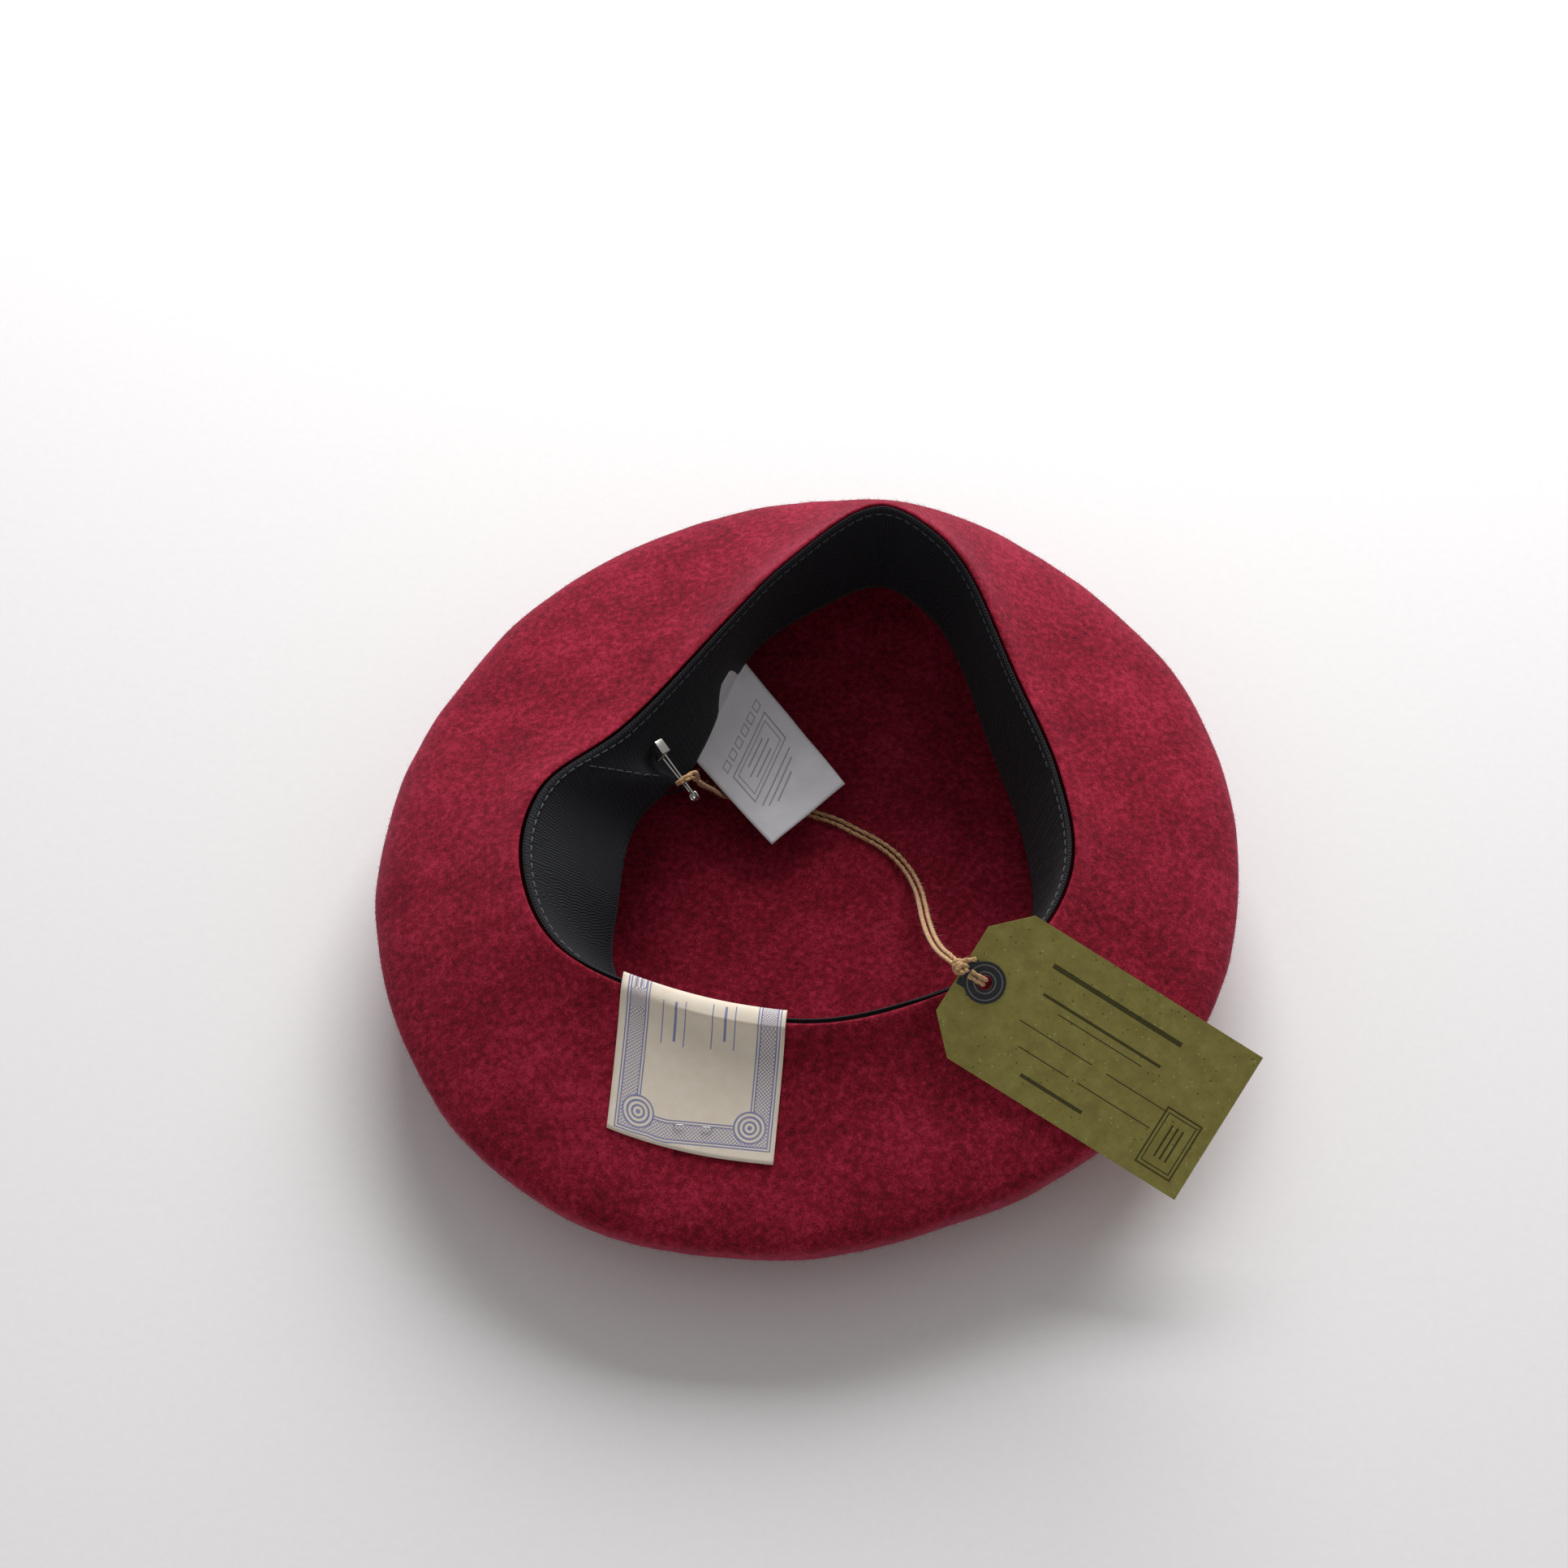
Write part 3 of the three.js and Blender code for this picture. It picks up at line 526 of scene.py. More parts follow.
def size_paper_material(width, drop):
    # Uncoated laid paper: faint ribs from the mould, printed in one blue ink with a ruled,
    # latticed border and plain rules for filling in.
    material, tree, shader = new_material(
        "cream laid paper", Roughness=0.85, Specular_IOR_Level=0.3)
    _, across, down = map_place(tree, "Print")
    wide = calculate(tree, "ABSOLUTE", across)
    edge = calculate(
        tree, "MINIMUM", calculate(tree, "SUBTRACT", width / 2, wide),
        calculate(tree, "SUBTRACT", drop, down))

    # The latticed band and its rules follow the label's sides and bottom edge.
    band_start, band_end, rule = 2.6 * MM, 7.4 * MM, 0.45 * MM
    band = calculate(
        tree, "MULTIPLY", calculate(tree, "GREATER_THAN", edge, band_start),
        calculate(tree, "LESS_THAN", edge, band_end))
    slants = []
    for way in (1, -1):
        run = calculate(tree, "ADD", across, calculate(tree, "MULTIPLY", down, way))
        slants.append(calculate(tree, "ABSOLUTE", waves(tree, run, 2.3 * MM)))
    lattice = calculate(tree, "GREATER_THAN", calculate(tree, "MINIMUM", *slants), 0.42)
    ink = calculate(tree, "MULTIPLY", band, calculate(tree, "SUBTRACT", 1.0, lattice))
    ruled = (1.5 * MM, band_start - rule / 2, band_end, band_end + 0.9 * MM)
    ink = calculate(tree, "MAXIMUM", ink, printed_lines(tree, edge, ruled, rule))

    # A rosette of rings covers the band at each lower corner.
    rosette_in = 8.2 * MM
    far = distance(
        tree, calculate(tree, "SUBTRACT", wide, width / 2 - rosette_in),
        calculate(tree, "SUBTRACT", down, drop - rosette_in))
    rings = calculate(tree, "GREATER_THAN", waves(tree, far, 1.5 * MM), 0.1)
    near = calculate(tree, "LESS_THAN", far, 5.1 * MM)
    ink = calculate(tree, "MULTIPLY", ink, calculate(tree, "SUBTRACT", 1.0, near))
    ink = calculate(tree, "MAXIMUM", ink, calculate(tree, "MULTIPLY", near, rings))

    thin, thick, middle = 0.35 * MM, 0.8 * MM, 20 * MM
    rules = [
        (-12.5 * MM, middle, thin, 19 * MM), (-8.5 * MM, middle, thick, 16 * MM),
        (-5.5 * MM, middle, thin, 19 * MM), (3 * MM, middle, thin, 19 * MM),
        (7 * MM, middle, thick, 14 * MM), (10 * MM, middle, thin, 19 * MM),
    ]
    ink = calculate(tree, "MAXIMUM", ink, printed_boxes(tree, across, down, rules))
    cloud = grain(tree, own_place(tree), 4 * MM, Detail=4.0)
    paper = mixed(tree, cloud, linear("#e6d6c0"), linear("#f3e9da"))
    patchy = calculate(tree, "MULTIPLY_ADD", cloud, 0.35, 0.55)
    colour = mixed(tree, calculate(tree, "MULTIPLY", ink, patchy), paper, linear("#3f55a4"))
    laid = calculate(tree, "MULTIPLY_ADD", waves(tree, across, 1.1 * MM), 0.3, cloud)
    set_surface(tree, shader, colour, laid, 0.35, 0.15 * MM)
    return material


def satin_material(width, length):
    # Woven satin tape: a soft sheen along the floats, with pale grey printed rules and frames.
    material, tree, shader = new_material(
        "woven satin", Roughness=0.42, Specular_IOR_Level=0.5, Sheen_Weight=0.2)
    _, across, down = map_place(tree, "Print")
    line = 0.4 * MM
    boxes = []
    for step in range(6):
        boxes += printed_frame((step - 2.5) * 4.2 * MM, 0.3 * length, 2.6 * MM, 2.6 * MM, line)
    boxes += printed_frame(0, 0.55 * length, 0.66 * width, 0.3 * length, 1.3 * line)
    boxes += printed_frame(0, 0.55 * length, 0.56 * width, 0.22 * length, line)
    rows = ((0.49, 0.3), (0.55, 0.4), (0.61, 0.3), (0.78, 0.6), (0.84, 0.5), (0.9, 0.3))
    boxes += [(0, row * length, share * width, 1.6 * line) for row, share in rows]
    ink = calculate(tree, "MULTIPLY", printed_boxes(tree, across, down, boxes), 0.6)
    soil = grain(tree, own_place(tree), 7 * MM, Detail=3.0)
    cloth = mixed(tree, soil, linear("#d6d3da"), linear("#eeecf0"))
    colour = mixed(tree, ink, cloth, linear("#55545e"))
    set_surface(tree, shader, colour, waves(tree, across, 0.45 * MM), 0.25, 0.08 * MM)
    return material


def tag_place(tree):
    """The tag's own coordinates: along it from the knot, across it, and up from it."""
    turned = add_node(
        tree, "Mapping", {"Location": middle_of("tag_knot"), "Rotation": TAG_FRAME.to_euler()},
        {"Vector": own_place(tree)}, vector_type="TEXTURE")
    return add_node(tree, "SeparateXYZ", links={"Vector": turned.outputs["Vector"]}).outputs


def kraft_material():
    # Recycled card: olive pulp flecked with dark and pale fibre, printed with plain black rules.
    material, tree, shader = new_material(
        "recycled kraft card", Roughness=0.88, Specular_IOR_Level=0.25)
    along, across, up = tag_place(tree)
    line = 0.4 * MM
    boxes = [
        (47 * MM, 15.5 * MM, 46 * MM, 4 * line), (47 * MM, 6.5 * MM, 42 * MM, 2.4 * line),
        (48 * MM, 3.6 * MM, 30 * MM, line), (37 * MM, -4 * MM, 26 * MM, line),
        (66 * MM, -4 * MM, 22 * MM, line), (37 * MM, -11 * MM, 18 * MM, line),
        (62 * MM, -11 * MM, 26 * MM, line), (44 * MM, -18 * MM, 22 * MM, 3 * line),
    ]
    stamp_along, stamp_across = 82.5 * MM, -12 * MM
    boxes += printed_frame(stamp_along, stamp_across, 12 * MM, 19 * MM, 1.4 * line)
    boxes += printed_frame(stamp_along, stamp_across, 9.6 * MM, 16.4 * MM, line)
    for step in (-1, 0, 1):
        boxes.append((stamp_along + step * 1.9 * MM, stamp_across, 1.6 * line, 11 * MM))
    front = calculate(tree, "GREATER_THAN", up, -4.1 * MM)
    ink = calculate(tree, "MULTIPLY", printed_boxes(tree, along, across, boxes), front)
    place = own_place(tree)
    pulp = grain(tree, place, 5 * MM, Detail=6.0, Roughness=0.7)
    colour = ramped(tree, pulp, [
        (0.35, linear("#8a8044")), (0.5, linear("#958b4b")), (0.68, linear("#9f9655"))])
    flecks = add_node(
        tree, "TexVoronoi", {"Scale": 1 / (1.9 * MM), "Randomness": 1.0}, {"Vector": place})
    speck = calculate(tree, "LESS_THAN", flecks.outputs["Distance"], 0.16)
    chance = add_node(tree, "SeparateColor", links={"Color": flecks.outputs["Color"]}).outputs[0]
    for side, limit, strength, code in (
            ("GREATER_THAN", 0.7, 0.7, "#4a4420"), ("LESS_THAN", 0.25, 0.6, "#c3bc7c")):
        chosen = calculate(tree, "MULTIPLY", speck, calculate(tree, side, chance, limit))
        colour = mixed(tree, calculate(tree, "MULTIPLY", chosen, strength), colour, linear(code))
    colour = mixed(tree, calculate(tree, "MULTIPLY", ink, 0.85), colour, linear("#33301c"))
    set_surface(tree, shader, colour, pulp, 0.3, 0.12 * MM)
    return material


def patch_material():
    # Gummed reinforcing paper: charcoal, matt, with pale rings printed round the eyelet.
    material, tree, shader = new_material(
        "charcoal gummed paper", Roughness=0.7, Specular_IOR_Level=0.3)
    along, across, _ = tag_place(tree)
    far = distance(tree, calculate(tree, "SUBTRACT", along, 9 * MM), across)
    ink = printed_lines(tree, far, (3.3 * MM, 5.4 * MM), 0.36 * MM)
    pulp = grain(tree, own_place(tree), 0.9 * MM, Detail=4.0)
    paper = mixed(tree, pulp, linear("#1d1e21"), linear("#3a3b40"))
    colour = mixed(tree, calculate(tree, "MULTIPLY", ink, 0.55), paper, linear("#8d8f8c"))
    set_surface(tree, shader, colour, pulp, 0.3, 0.08 * MM)
    return material


# ---------------------------------------------------------------- ways and maps


def ring_of(node, buckets):
    """The middle line of a closed ring of thread, from its CAD node."""
    middle = middle_of(node)
    found = [[] for _ in range(buckets)]
    for vertex in NODES[node].data.vertices:
        turn = math.atan2(vertex.co.y - middle.y, vertex.co.x - middle.x) % (2 * math.pi)
        found[int(turn / (2 * math.pi) * buckets) % buckets].append(vertex.co)
    return [sum(group, Vector()) / len(group) for group in found if group]


def line_of(node, buckets):
    """The middle line of a short thread, from its CAD node, taken along its longest way."""
    low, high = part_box(node)
    axis = max(range(3), key=lambda k: high[k] - low[k])
    found = [[] for _ in range(buckets)]
    for vertex in NODES[node].data.vertices:
        share = (vertex.co[axis] - low[axis]) / (high[axis] - low[axis])
        found[min(int(share * buckets), buckets - 1)].append(vertex.co)
    return [sum(group, Vector()) / len(group) for group in found if group]


def walked_along(way):
    """A finder of places on a way, and the distance walked to each of its points."""
    finder = KDTree(len(way))
    walked = [0.0]
    for i, place in enumerate(way):
        finder.insert(place, i)
        if i:
            walked.append(walked[-1] + (place - way[i - 1]).length)
    finder.balance()
    return finder, walked


def map_points(piece, name, values, loop_length=None):
    """Writes a UV map in metres from each vertex's (u, v), wrapped where a loop closes."""
    layer = piece.data.uv_layers.new(name=name)
    for face in piece.data.polygons:
        pairs = [list(values[piece.data.loops[i].vertex_index]) for i in face.loop_indices]
        if loop_length and max(p[0] for p in pairs) - min(p[0] for p in pairs) > loop_length / 2:
            for pair in pairs:
                if pair[0] < loop_length / 2:
                    pair[0] += loop_length
        for i, pair in zip(face.loop_indices, pairs):
            layer.data[i].uv = pair


def surface_tree(*nodes):
    """A finder of the nearest place on some CAD nodes."""
    shape = bmesh.new()
    for node in nodes:
        shape.from_mesh(NODES[node].data)
    tree = BVHTree.FromBMesh(shape)
    shape.free()
    return tree


def twine_way():
    """The whole doubled twine: out of the knot, round the pin and back into the knot."""
    middle = [Vector(place) for place in TWINE_WAY]
    knot = middle_of("tag_knot")

    def strand(way):
        places = []
        for i, place in enumerate(middle):
            along = middle[min(i + 1, len(middle) - 1)] - middle[max(i - 1, 0)]
            side = Vector((-along.y, along.x, 0)).normalized()
            places.append(place + side * way * TWINE_SPREAD)
        return places

    start = knot.lerp(middle[0], 0.42)
    first, last = strand(-1), strand(1)
    ends = [start + (line[0] - middle[0]) * 0.7 for line in (first, last)]
    return smooth_way([ends[0], *first, *TWINE_EYE, *reversed(last), ends[1]], 0.45 * MM)


def fluff(name, way, count, reach, material, across, seed):
    """Loose hairs that stand off a twine."""
    chance = random.Random(seed)
    roots = []
    for _ in range(count):
        i = chance.randrange(1, len(way) - 1)
        along = (way[i + 1] - way[i - 1]).normalized()
        loose = Vector([chance.uniform(-1, 1) for _ in range(3)])
        out = (loose - along * loose.dot(along)).normalized()
        root = way[i] + out * across * 0.32
        tip = root + (out * chance.uniform(0.3, 1) + along * chance.uniform(-1, 1)) * reach
        roots.append((root, tip if chance.random() < 0.25 else root.lerp(tip, 0.45)))
    return fibres(name, roots, material, 0.07 * MM)


# ---------------------------------------------------------------- sizes and colours


def colour_setting(name, description, code):
    return FloatVectorProperty(
        name=name, description=description, subtype="COLOR", size=3, min=0, max=1,
        default=linear(code)[:3])


def length_setting(name, description, low, high, default):
    return FloatProperty(
        name=name, description=description, unit="LENGTH", min=low, max=high, default=default)


class BeretFinish(bpy.types.PropertyGroup):
    """Sizes and colours of the finish that a user would change."""

    felt_colour: colour_setting("Felt", "Main colour of the felt", "#861529")
    # Painted shade down between the clumps, mixed with the felt's random tone.
    felt_dark_tone_and_painted_shade: colour_setting(
        "Felt, dark clumps", "Colour down between the clumps of wool", "#5a0c1a")
    # Painted light on the raised clumps, mixed with the felt's random tone.
    felt_light_tone_and_painted_light: colour_setting(
        "Felt, light clumps", "Colour of the raised clumps of wool", "#ab2a44")
    # The nap's paler colour is a painted glow of light passing through the fibres.
    nap_painted_glow: colour_setting("Nap", "Colour of single raised fibres", "#b93a58")
    felt_sheen: FloatProperty(
        name="Felt sheen", description="Strength of the halo on the nap", min=0, max=1, default=0.3)
    nap_fibres: IntProperty(
        name="Nap fibres", description="Raised fibres in each of the two layers of nap",
        min=100, max=49000, default=45000)
    nap_reach: length_setting(
        "Nap length", "Length of a raised fibre", 0.0003, 0.006, 0.0019)
    ribbon_colour: colour_setting("Ribbon", "Colour of the ribbon's ribs", "#1a1c22")
    rib_pitch: length_setting(
        "Rib spacing", "Distance from one rib of the ribbon to the next", 0.0004, 0.004, 0.0012)
    stitch_length: length_setting(
        "Stitch length", "Length of one stitch of the rim seam", 0.001, 0.008, 0.0033)
    twine_across: length_setting(
        "Twine diameter", "Diameter of the twine", 0.0005, 0.004, 0.00145)
    twine_length: length_setting(
        "Twine length", "Whole length of the twine, knot to knot", 0.2, 0.8, 0.455)
    twine_lay: length_setting(
        "Twine lay", "Length of one full turn of the twine's plies", 0.002, 0.02, 0.0062)


# ---------------------------------------------------------------- the pieces


class BERET_OT_camera(bpy.types.Operator):
    """Sets the camera above and in front of the beret, looking down into it"""

    bl_idname = "beret.camera"
    bl_label = "Camera"

    def execute(self, context):
        scene = context.scene
        target = Vector((-8.2, 19.7, 46.4)) * MM
        elevation = math.radians(55)
        distance = 927 * MM
        lens = bpy.data.cameras.new("camera")
        lens.sensor_width = 36
        lens.lens = 64.57
        camera = bpy.data.objects.new("camera", lens)
        camera.rotation_euler = (math.pi / 2 - elevation, 0, 0)
        back = Vector((0, -math.cos(elevation), math.sin(elevation)))
        camera.location = target + back * distance
        scene.collection.objects.link(camera)
        scene.camera = camera
        return {"FINISHED"}


class BERET_OT_twine(bpy.types.Operator):
    """Lays the doubled twine from the knot to the safety pin and back"""

    bl_idname = "beret.twine"
    bl_label = "Twine"

    def execute(self, context):
        look = context.scene.beret_finish
        material = jute_material()
        way = twine_way()
        turn = 2 * math.pi / look.twine_lay
        piece = swept("twine_cord", [way], plied_section(look.twine_across), material, turn)
        settle(piece, "root", "jute", "twine")
        hair = fluff("twine_fluff", way, 900, 3 * MM, material, look.twine_across, 11)
        settle(hair, "root", "jute")
        return {"FINISHED"}


class BERET_OT_knot(bpy.types.Operator):
    """Ties the knot and threads the loop through the tag's eyelet"""

    bl_idname = "beret.knot"
    bl_label = "Knot and loop"

    def execute(self, context):
        look = context.scene.beret_finish
        material = jute_material()
        knot = middle_of("tag_knot")
        across = look.twine_across
        turn = 2 * math.pi / look.twine_lay
        pull = (Vector(TWINE_WAY[0]) - knot).normalized()
        side = pull.cross(Vector((0, 0, 1))).normalized()
        over = side.cross(pull).normalized()
        wraps, reach, steps = 2.3, 1.75 * MM, 30
        places = []
        for i in range(steps + 1):
            share = i / steps
            angle = share * wraps * 2 * math.pi
            out = side * math.cos(angle) + over * math.sin(angle) * 0.85
            places.append(knot + out * reach + pull * (share - 0.4) * 3.4 * MM)
        tail = [
            places[-1] + side * 2.5 * MM - pull * 1.5 * MM,
            places[-1] + side * 5 * MM - pull * 4.5 * MM + over * 1.0 * MM,
        ]
        wrap = smooth_way([*places, *tail], 0.4 * MM)
        core = [knot + pull * 3.2 * MM, knot + over * 0.2 * MM, knot - pull * 2.8 * MM]
        cores = []
        for way in (-1, 1):
            cores.append(smooth_way([place + side * way * 0.75 * MM for place in core], 0.4 * MM))
        section = plied_section(across)
        piece = swept("knot_wraps", [wrap, *cores], section, material, turn)
        settle(piece, "tag_knot", "jute", "tag_knot")
        hair = fluff("knot_fluff", wrap, 120, 3 * MM, material, across, 12)
        settle(hair, "tag_knot", "jute")
        spread = TAG_FRAME @ Vector((0, 0.8 * MM, 0))
        strands = []
        for way in (-1, 1):
            strands.append(smooth_way([Vector(p) + spread * way for p in LOOP_WAY], 0.4 * MM))
        loop = swept("loop_strands", strands, section, material, turn)
        settle(loop, "hang_tag", "jute", "tag_loop")
        return {"FINISHED"}


class BERET_OT_felt(bpy.types.Operator):
    """Makes the felt body with its soft relief and its nap"""

    bl_idname = "beret.felt"
    bl_label = "Felt"

    def execute(self, context):
        look = context.scene.beret_finish
        piece = cad_copy("felt", "felt_body", beside=("staple",), material=felt_material(look))
        covered = surface_tree("sweatband", "size_label")
        # The relief fades out beside the ribbon and label, and where the crown lies flat.
        margin, fade, foot_fade, bare = 3 * MM, 16 * MM, 10 * MM, 2.2 * MM
        places = [(vertex.co.copy(), vertex.normal.copy()) for vertex in piece.data.vertices]
        for vertex, (place, normal) in zip(piece.data.vertices, places):
            far = covered.find_nearest(place, margin + fade)[3]
            free = 1 if far is None else min(max((far - margin) / fade, 0), 1)
            flat = min(max((place.z - margin) / foot_fade, 0), 1)
            swell = noise.noise(place / (34 * MM)) * 0.9 * MM
            swell += noise.noise(place / (12 * MM)) * 0.25 * MM
            vertex.co = place + normal * swell * free * flat
        settle(piece, "root", "felt", "felt_body")
        nap = nap_material(look)
        for layer in (1, 2):
            chance = random.Random(layer)
            places = scattered(
                piece, look.nap_fibres, layer,
                lambda place: place.z > 1 * MM and covered.find_nearest(place, bare)[0] is None)
            roots = []
            for place, normal in places:
                loose = Vector([chance.uniform(-1, 1) for _ in range(3)])
                lie = (loose - normal * loose.dot(normal)).normalized()
                reach = look.nap_reach * chance.uniform(0.5, 1.3)
                rise = chance.uniform(0.15, 0.75)
                tip = place + (lie * math.sqrt(1 - rise * rise) + normal * rise) * reach
                roots.append((place - normal * 0.1 * MM, tip))
            raised = fibres(f"felt_nap_{layer}", roots, nap, 0.075 * MM)
            settle(raised, "root", "felt")
        return {"FINISHED"}


class BERET_OT_ribbon(bpy.types.Operator):
    """Makes the grosgrain sweatband with its beaded selvedges and stitches"""

    bl_idname = "beret.ribbon"
    bl_label = "Sweatband"

    def execute(self, context):
        look = context.scene.beret_finish
        material = grosgrain_material(look)
        piece = cad_copy(
            "ribbon", "sweatband", beside=("staple", "pin_wire"), sharp=50, material=material)
        rail = smooth_way(ring_of("band_thread", 60), 1 * MM, closed=True)
        finder, walked = walked_along(rail)
        around = walked[-1] + (rail[0] - rail[-1]).length
        values = []
        for vertex in piece.data.vertices:
            place, i, far = finder.find(vertex.co)
            below = 1 if vertex.co.z < place.z else -1
            values.append((walked[i], far * below))
        map_points(piece, "Weave", values, around)

        roll_start, roll_reach, roll_depth = 20 * MM, 45 * MM, 2 * MM

        def sunk(place):
            """At the front the felt's edge rolls in a little above the ribbon."""
            share = min(max((-place.y - roll_start) / roll_reach, 0), 1)
            return place - Vector((0, 0, roll_depth)) * share

        for vertex in piece.data.vertices:
            vertex.co = sunk(vertex.co)
        rail = [sunk(place) for place in rail]
        settle(piece, "root", "grosgrain", "sweatband")
        self.selvedges(piece, values, around, material)
        self.stitches(look, piece, rail)
        return {"FINISHED"}

    def selvedges(self, piece, values, around, material):
        """The beaded edges of the ribbon."""
        buckets = 96
        bead = 1.1 * MM
        for name, way in (("ribbon_free_edge", 1), ("ribbon_sewn_edge", -1)):
            groups = [[] for _ in range(buckets)]
            for vertex, (u, v) in zip(piece.data.vertices, values):
                groups[min(int(u / around * buckets), buckets - 1)].append((v * way, vertex.index))
            places = []
            for group in groups:
                ends = sorted(group, reverse=True)[:4]
                if ends:
                    co = [piece.data.vertices[i].co for _, i in ends]
                    places.append(sum(co, Vector()) / len(co))
            edge = smooth_way(places, 0.28 * MM, closed=True)
            beads = swept(
                name, [edge], round_section(0.95 * MM, 6), material, closed=True,
                radii=lambda walked: 0.75 + 0.25 * math.sin(2 * math.pi * walked / bead))
            map_points(beads, "Weave", [(0.0, 0.0)] * len(beads.data.vertices))
            settle(beads, "root", "grosgrain")

    def stitches(self, look, ribbon, rail):
        """The stitches along the rim and down the join."""
        thread = thread_material("black sewing thread", "#15161a")
        join = smooth_way(line_of("join_thread", 6), 0.5 * MM)
        for name, way, node in (
                ("rim_stitches", rail, "band_thread"), ("join_stitches", join, "join_thread")):
            ways = []
            walked = walked_along(way)[1]
            steps = 6
            at = 0.0
            while at + look.stitch_length < walked[-1]:
                places = []
                for k in range(steps + 1):
                    share = k / steps
                    distance = at + look.stitch_length * 0.72 * share
                    i = min(int(np.searchsorted(walked, distance)), len(way) - 1)
                    a, b = max(i - 1, 0), i
                    span = max(walked[b] - walked[a], 1e-9)
                    on = way[a].lerp(way[b], min(max((distance - walked[a]) / span, 0), 1))
                    _, place, normal, _ = ribbon.closest_point_on_mesh(on)
                    rise = 0.28 * MM * math.sin(math.pi * share) - 0.08 * MM
                    places.append(place + normal * rise)
                ways.append(places)
                at += look.stitch_length
            piece = swept(name, ways, round_section(0.5 * MM, 6), thread)
            settle(piece, "root", "dark_thread", node)


class BERET_OT_size_label(bpy.types.Operator):
    """Makes the printed paper size label and its staple"""

    bl_idname = "beret.size_label"
    bl_label = "Size label"

    def execute(self, context):
        staple_middle = middle_of("staple")
        down = Vector((-0.1, -1, 0)).normalized()
        across = Vector((1, -0.1, 0)).normalized()
        piece = cad_copy("paper_size_label", "size_label", beside=("staple",), sharp=50)
        offsets = [vertex.co - staple_middle for vertex in piece.data.vertices]
        reach = max(offset.dot(across) for offset in offsets)
        # The outer face's profile down the middle gives the distance walked down the paper.
        middle = [(offset.dot(down), offset.z) for offset in offsets
                  if abs(offset.dot(across)) < 2.5 * MM]
        lean = sorted(spot for spot in middle if spot[1] + spot[0] * 0.35 > -1 * MM)
        table = [(lean[0][0], 0.0)]
        last = lean[0]
        for spot in lean[1:]:
            if spot[0] - last[0] > 1.5 * MM:
                table.append((spot[0], table[-1][1] + math.dist(spot, last)))
                last = spot
        far, drop = zip(*table)
        whole_drop = max(drop)
        strips = 16
        ends = [-1.0] * (strips + 1)
        for offset in offsets:
            strip = round((offset.dot(across) / reach + 1) / 2 * strips)
            ends[strip] = max(ends[strip], offset.dot(down))
        sides = [(2 * strip / strips - 1) * reach for strip in range(strips + 1)]
        values = []
        for offset in offsets:
            aside = offset.dot(across)
            end = float(np.interp(float(np.interp(aside, sides, ends)), far, drop))
            values.append((aside, whole_drop - end + float(np.interp(offset.dot(down), far, drop))))
        map_points(piece, "Print", values)
        piece.data.materials.clear()
        piece.data.materials.append(size_paper_material(2 * reach, whole_drop))
        settle(piece, "root", "laid_paper", "size_label")
        wire = metal_material("galvanised staple wire", "#c9ccd0", 0.28)
        staple = cad_copy("staple_wire", "staple", levels=1, material=wire)
        settle(staple, "root", "staple_wire", "staple")
        return {"FINISHED"}


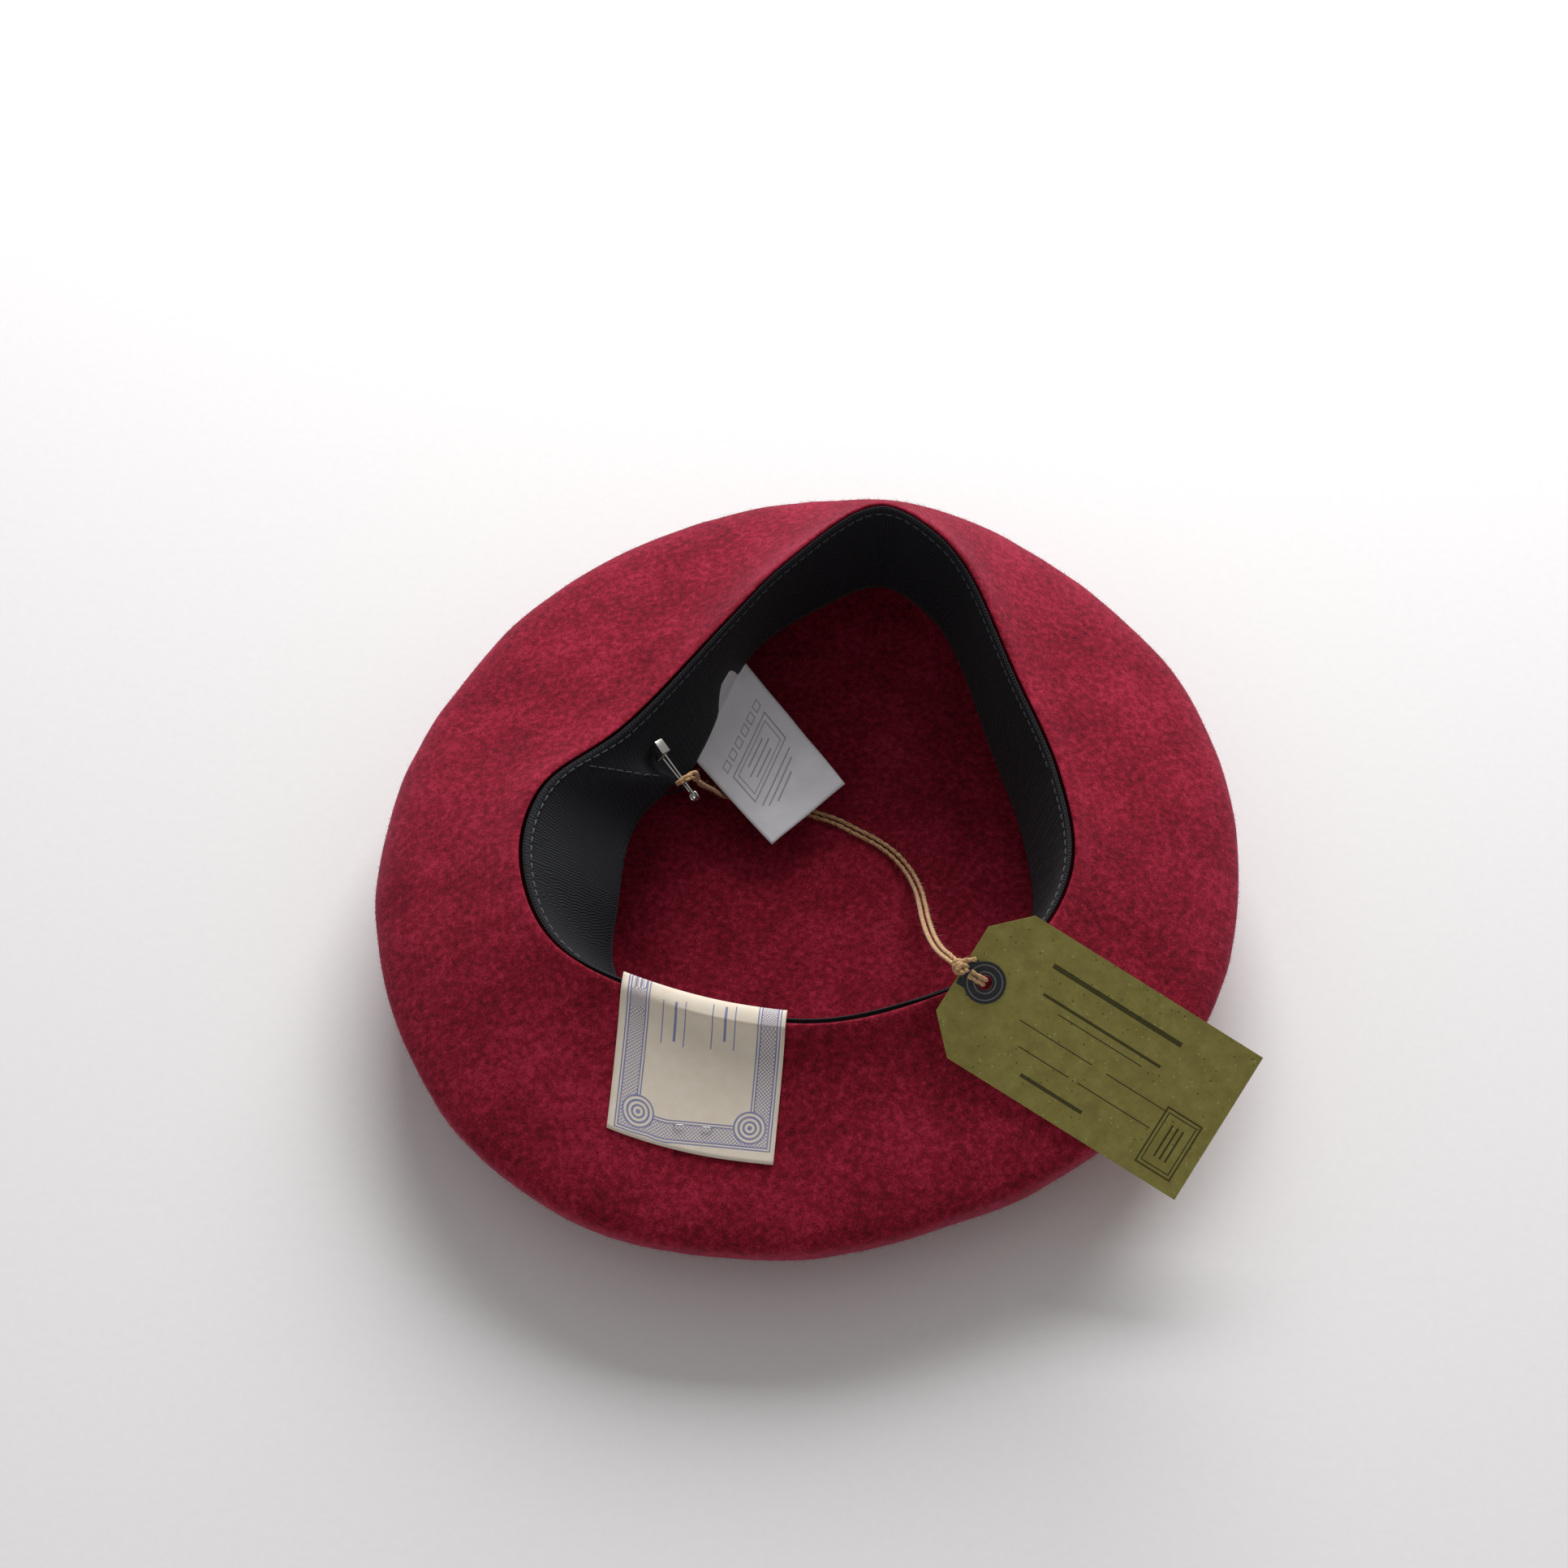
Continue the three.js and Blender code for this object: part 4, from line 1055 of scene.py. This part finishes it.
class BERET_OT_care_label(bpy.types.Operator):
    """Makes the satin care label, one strip folded under the ribbon's free edge"""

    bl_idname = "beret.care_label"
    bl_label = "Care label"

    def execute(self, context):
        joint = JOINTS["care_label_flip"]
        middle = Vector(joint["pos_m"])
        axis = -Vector(joint["axis"]).normalized()

        def corners(node):
            """The four corners of a node: far and near from the fold, each at its two ends."""
            found = []
            for vertex in NODES[node].data.vertices:
                off = vertex.co - middle
                along = off.dot(axis)
                found.append(((off - axis * along).length, along, vertex.co.copy()))
            leans = ((0.2, -1), (1, 0.3), (-1, -0.3), (-0.3, 1))
            ends = [max(found, key=lambda f: a * f[0] + b * f[1])[2] for a, b in leans]
            return ends[:2], ends[2:]

        leaf_far, leaf_near = corners("care_label")
        tab_far, tab_near = corners("care_label_tab")
        sink = [((near - far).normalized() * 0.7 * MM) for near, far in zip(tab_near, tab_far)]
        fold = [near + fall for near, fall in zip(tab_near, sink)]
        rows = [tab_far, tab_near, fold, leaf_near]
        for share in (0.25, 0.5, 0.75, 1.0):
            rows.append([near.lerp(far, share) for near, far in zip(leaf_near, leaf_far)])
        width = (leaf_far[1] - leaf_far[0]).length
        length = (leaf_far[0] - leaf_near[0]).length
        tab = (tab_near[0] - tab_far[0]).length
        shape = bmesh.new()
        bmesh.ops.create_grid(shape, x_segments=28, y_segments=48, size=1)
        columns = {}
        places = []
        for vertex in shape.verts:
            share, run = (vertex.co.x + 1) / 2, (vertex.co.y + 1) / 2
            key = round(share * 28)
            if key not in columns:
                way = smooth_way([row[0].lerp(row[1], share) for row in rows], 0.4 * MM)
                columns[key] = (way, walked_along(way)[1])
            way, walked = columns[key]
            distance = run * walked[-1]
            i = min(max(int(np.searchsorted(walked, distance)), 1), len(way) - 1)
            span = walked[i] - walked[i - 1]
            place = way[i - 1].lerp(way[i], (distance - walked[i - 1]) / span)
            past = distance - tab - 1 * MM
            loose = min(max(past / length, 0), 1)
            wave = noise.noise(place / (17 * MM)) * 1.1 * MM * loose
            lift = 1.6 * MM * loose ** 3
            places.append((place + Vector((0, 0, wave + lift)), ((share - 0.5) * width, past)))
        for vertex, (place, _) in zip(shape.verts, places):
            vertex.co = place
        bmesh.ops.recalc_face_normals(shape, faces=shape.faces)
        mesh = mesh_from(shape, "satin_care_label")
        piece = object_from(mesh.name, mesh, satin_material(width, length))
        map_points(piece, "Print", [value for _, value in places])
        thick = piece.modifiers.new("Thickness", "SOLIDIFY")
        thick.thickness = 0.3 * MM
        thick.offset = 0
        applied(piece)
        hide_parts("care_label", "care_label_tab")
        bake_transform(piece)
        thread = thread_material("white sewing thread", "#d9d8dc")
        seam = cad_copy("care_label_stitches", "care_label_thread", levels=1, material=thread)
        settle(seam, "root", "pale_thread", "care_label_thread")
        return {"FINISHED"}


class BERET_OT_pin(bpy.types.Operator):
    """Makes the nickel-plated safety pin"""

    bl_idname = "beret.pin"
    bl_label = "Safety pin"

    def execute(self, context):
        plate = metal_material("bright nickel plate", "#cfccc6", 0.16)
        wire = cad_copy("pin_drawn_wire", "pin_wire", levels=2, material=plate)
        settle(wire, "root", "nickel_plate", "pin_wire")
        cap = cad_copy("pin_pressed_cap", "pin_cap", levels=0, material=plate)
        edge = cap.modifiers.new("Pressed edge", "BEVEL")
        edge.width = 0.9 * MM
        edge.segments = 4
        edge.limit_method = "ANGLE"
        applied(cap)
        settle(cap, "root", "nickel_plate", "pin_cap")
        return {"FINISHED"}


class BERET_OT_tag(bpy.types.Operator):
    """Finishes the hang tag and its reinforcing patches"""

    bl_idname = "beret.tag"
    bl_label = "Hang tag"

    def execute(self, context):
        patch = patch_material()
        finishes = {"hang_tag": kraft_material(), "tag_patch_front": patch, "tag_patch_back": patch}
        for node, material in finishes.items():
            NODES[node].data.materials.clear()
            NODES[node].data.materials.append(material)
        return {"FINISHED"}


class BERET_OT_stage(bpy.types.Operator):
    """Sets the pale floor, the window light and the fill"""

    bl_idname = "beret.stage"
    bl_label = "Stage"

    def execute(self, context):
        scene = context.scene
        shape = bmesh.new()
        bmesh.ops.create_grid(shape, x_segments=1, y_segments=1, size=4)
        # Painted board: white with a very slight tooth.
        material, tree, shader = new_material("matt painted board", Roughness=0.9)
        tooth = grain(tree, own_place(tree), 3 * MM, Detail=3.0)
        paint = mixed(tree, tooth, linear("#f3f1f1"), linear("#f8f6f6"))
        set_surface(tree, shader, paint, tooth, 0.12, 0.3 * MM)
        floor = object_from("floor", mesh_from(shape, "floor"), material, smooth=False)
        for name, place, size, power in (
                ("window", (0.2, 1.35, 0.95), 1.2, 34.0), ("fill", (-0.5, -0.9, 1.5), 1.6, 1.2)):
            lamp = bpy.data.lights.new(name, "AREA")
            lamp.size = size
            lamp.energy = power
            holder = bpy.data.objects.new(name, lamp)
            holder.location = place
            holder.rotation_euler = (-Vector(place)).to_track_quat("-Z", "Y").to_euler()
            scene.collection.objects.link(holder)
        world = bpy.data.worlds.new("studio")
        scene.world = world
        world.use_nodes = True
        sky = world.node_tree.nodes["Background"]
        sky.inputs["Color"].default_value = linear("#ffffff")
        sky.inputs["Strength"].default_value = 0.3
        scene.view_settings.view_transform = "Standard"
        return {"FINISHED"}


class BERET_PT_panel(bpy.types.Panel):
    """Lists the beret's sizes, colours and pieces"""

    bl_label = "Felt beret"
    bl_idname = "BERET_PT_panel"
    bl_space_type = "VIEW_3D"
    bl_region_type = "UI"
    bl_category = "Beret"

    def draw(self, context):
        look = context.scene.beret_finish
        column = self.layout.column()
        for name in look.bl_rna.properties.keys():
            if name not in ("rna_type", "name"):
                column.prop(look, name)
        for maker in PIECES:
            column.operator(maker.bl_idname)


PIECES = (
    BERET_OT_camera, BERET_OT_twine, BERET_OT_knot, BERET_OT_felt, BERET_OT_ribbon,
    BERET_OT_size_label, BERET_OT_care_label, BERET_OT_pin, BERET_OT_tag, BERET_OT_stage,
)
CLASSES = (BeretFinish, *PIECES, BERET_PT_panel)


def register():
    for kind in CLASSES:
        bpy.utils.register_class(kind)
    bpy.types.Scene.beret_finish = PointerProperty(type=BeretFinish)


def unregister():
    del bpy.types.Scene.beret_finish
    for kind in reversed(CLASSES):
        bpy.utils.unregister_class(kind)


def main():
    register()
    bpy.ops.beret.camera()
    bpy.ops.beret.twine()
    bpy.ops.beret.knot()
    bpy.ops.beret.felt()
    bpy.ops.beret.ribbon()
    bpy.ops.beret.size_label()
    bpy.ops.beret.care_label()
    bpy.ops.beret.pin()
    bpy.ops.beret.tag()
    bpy.ops.beret.stage()


if __name__ == "__main__":
    main()
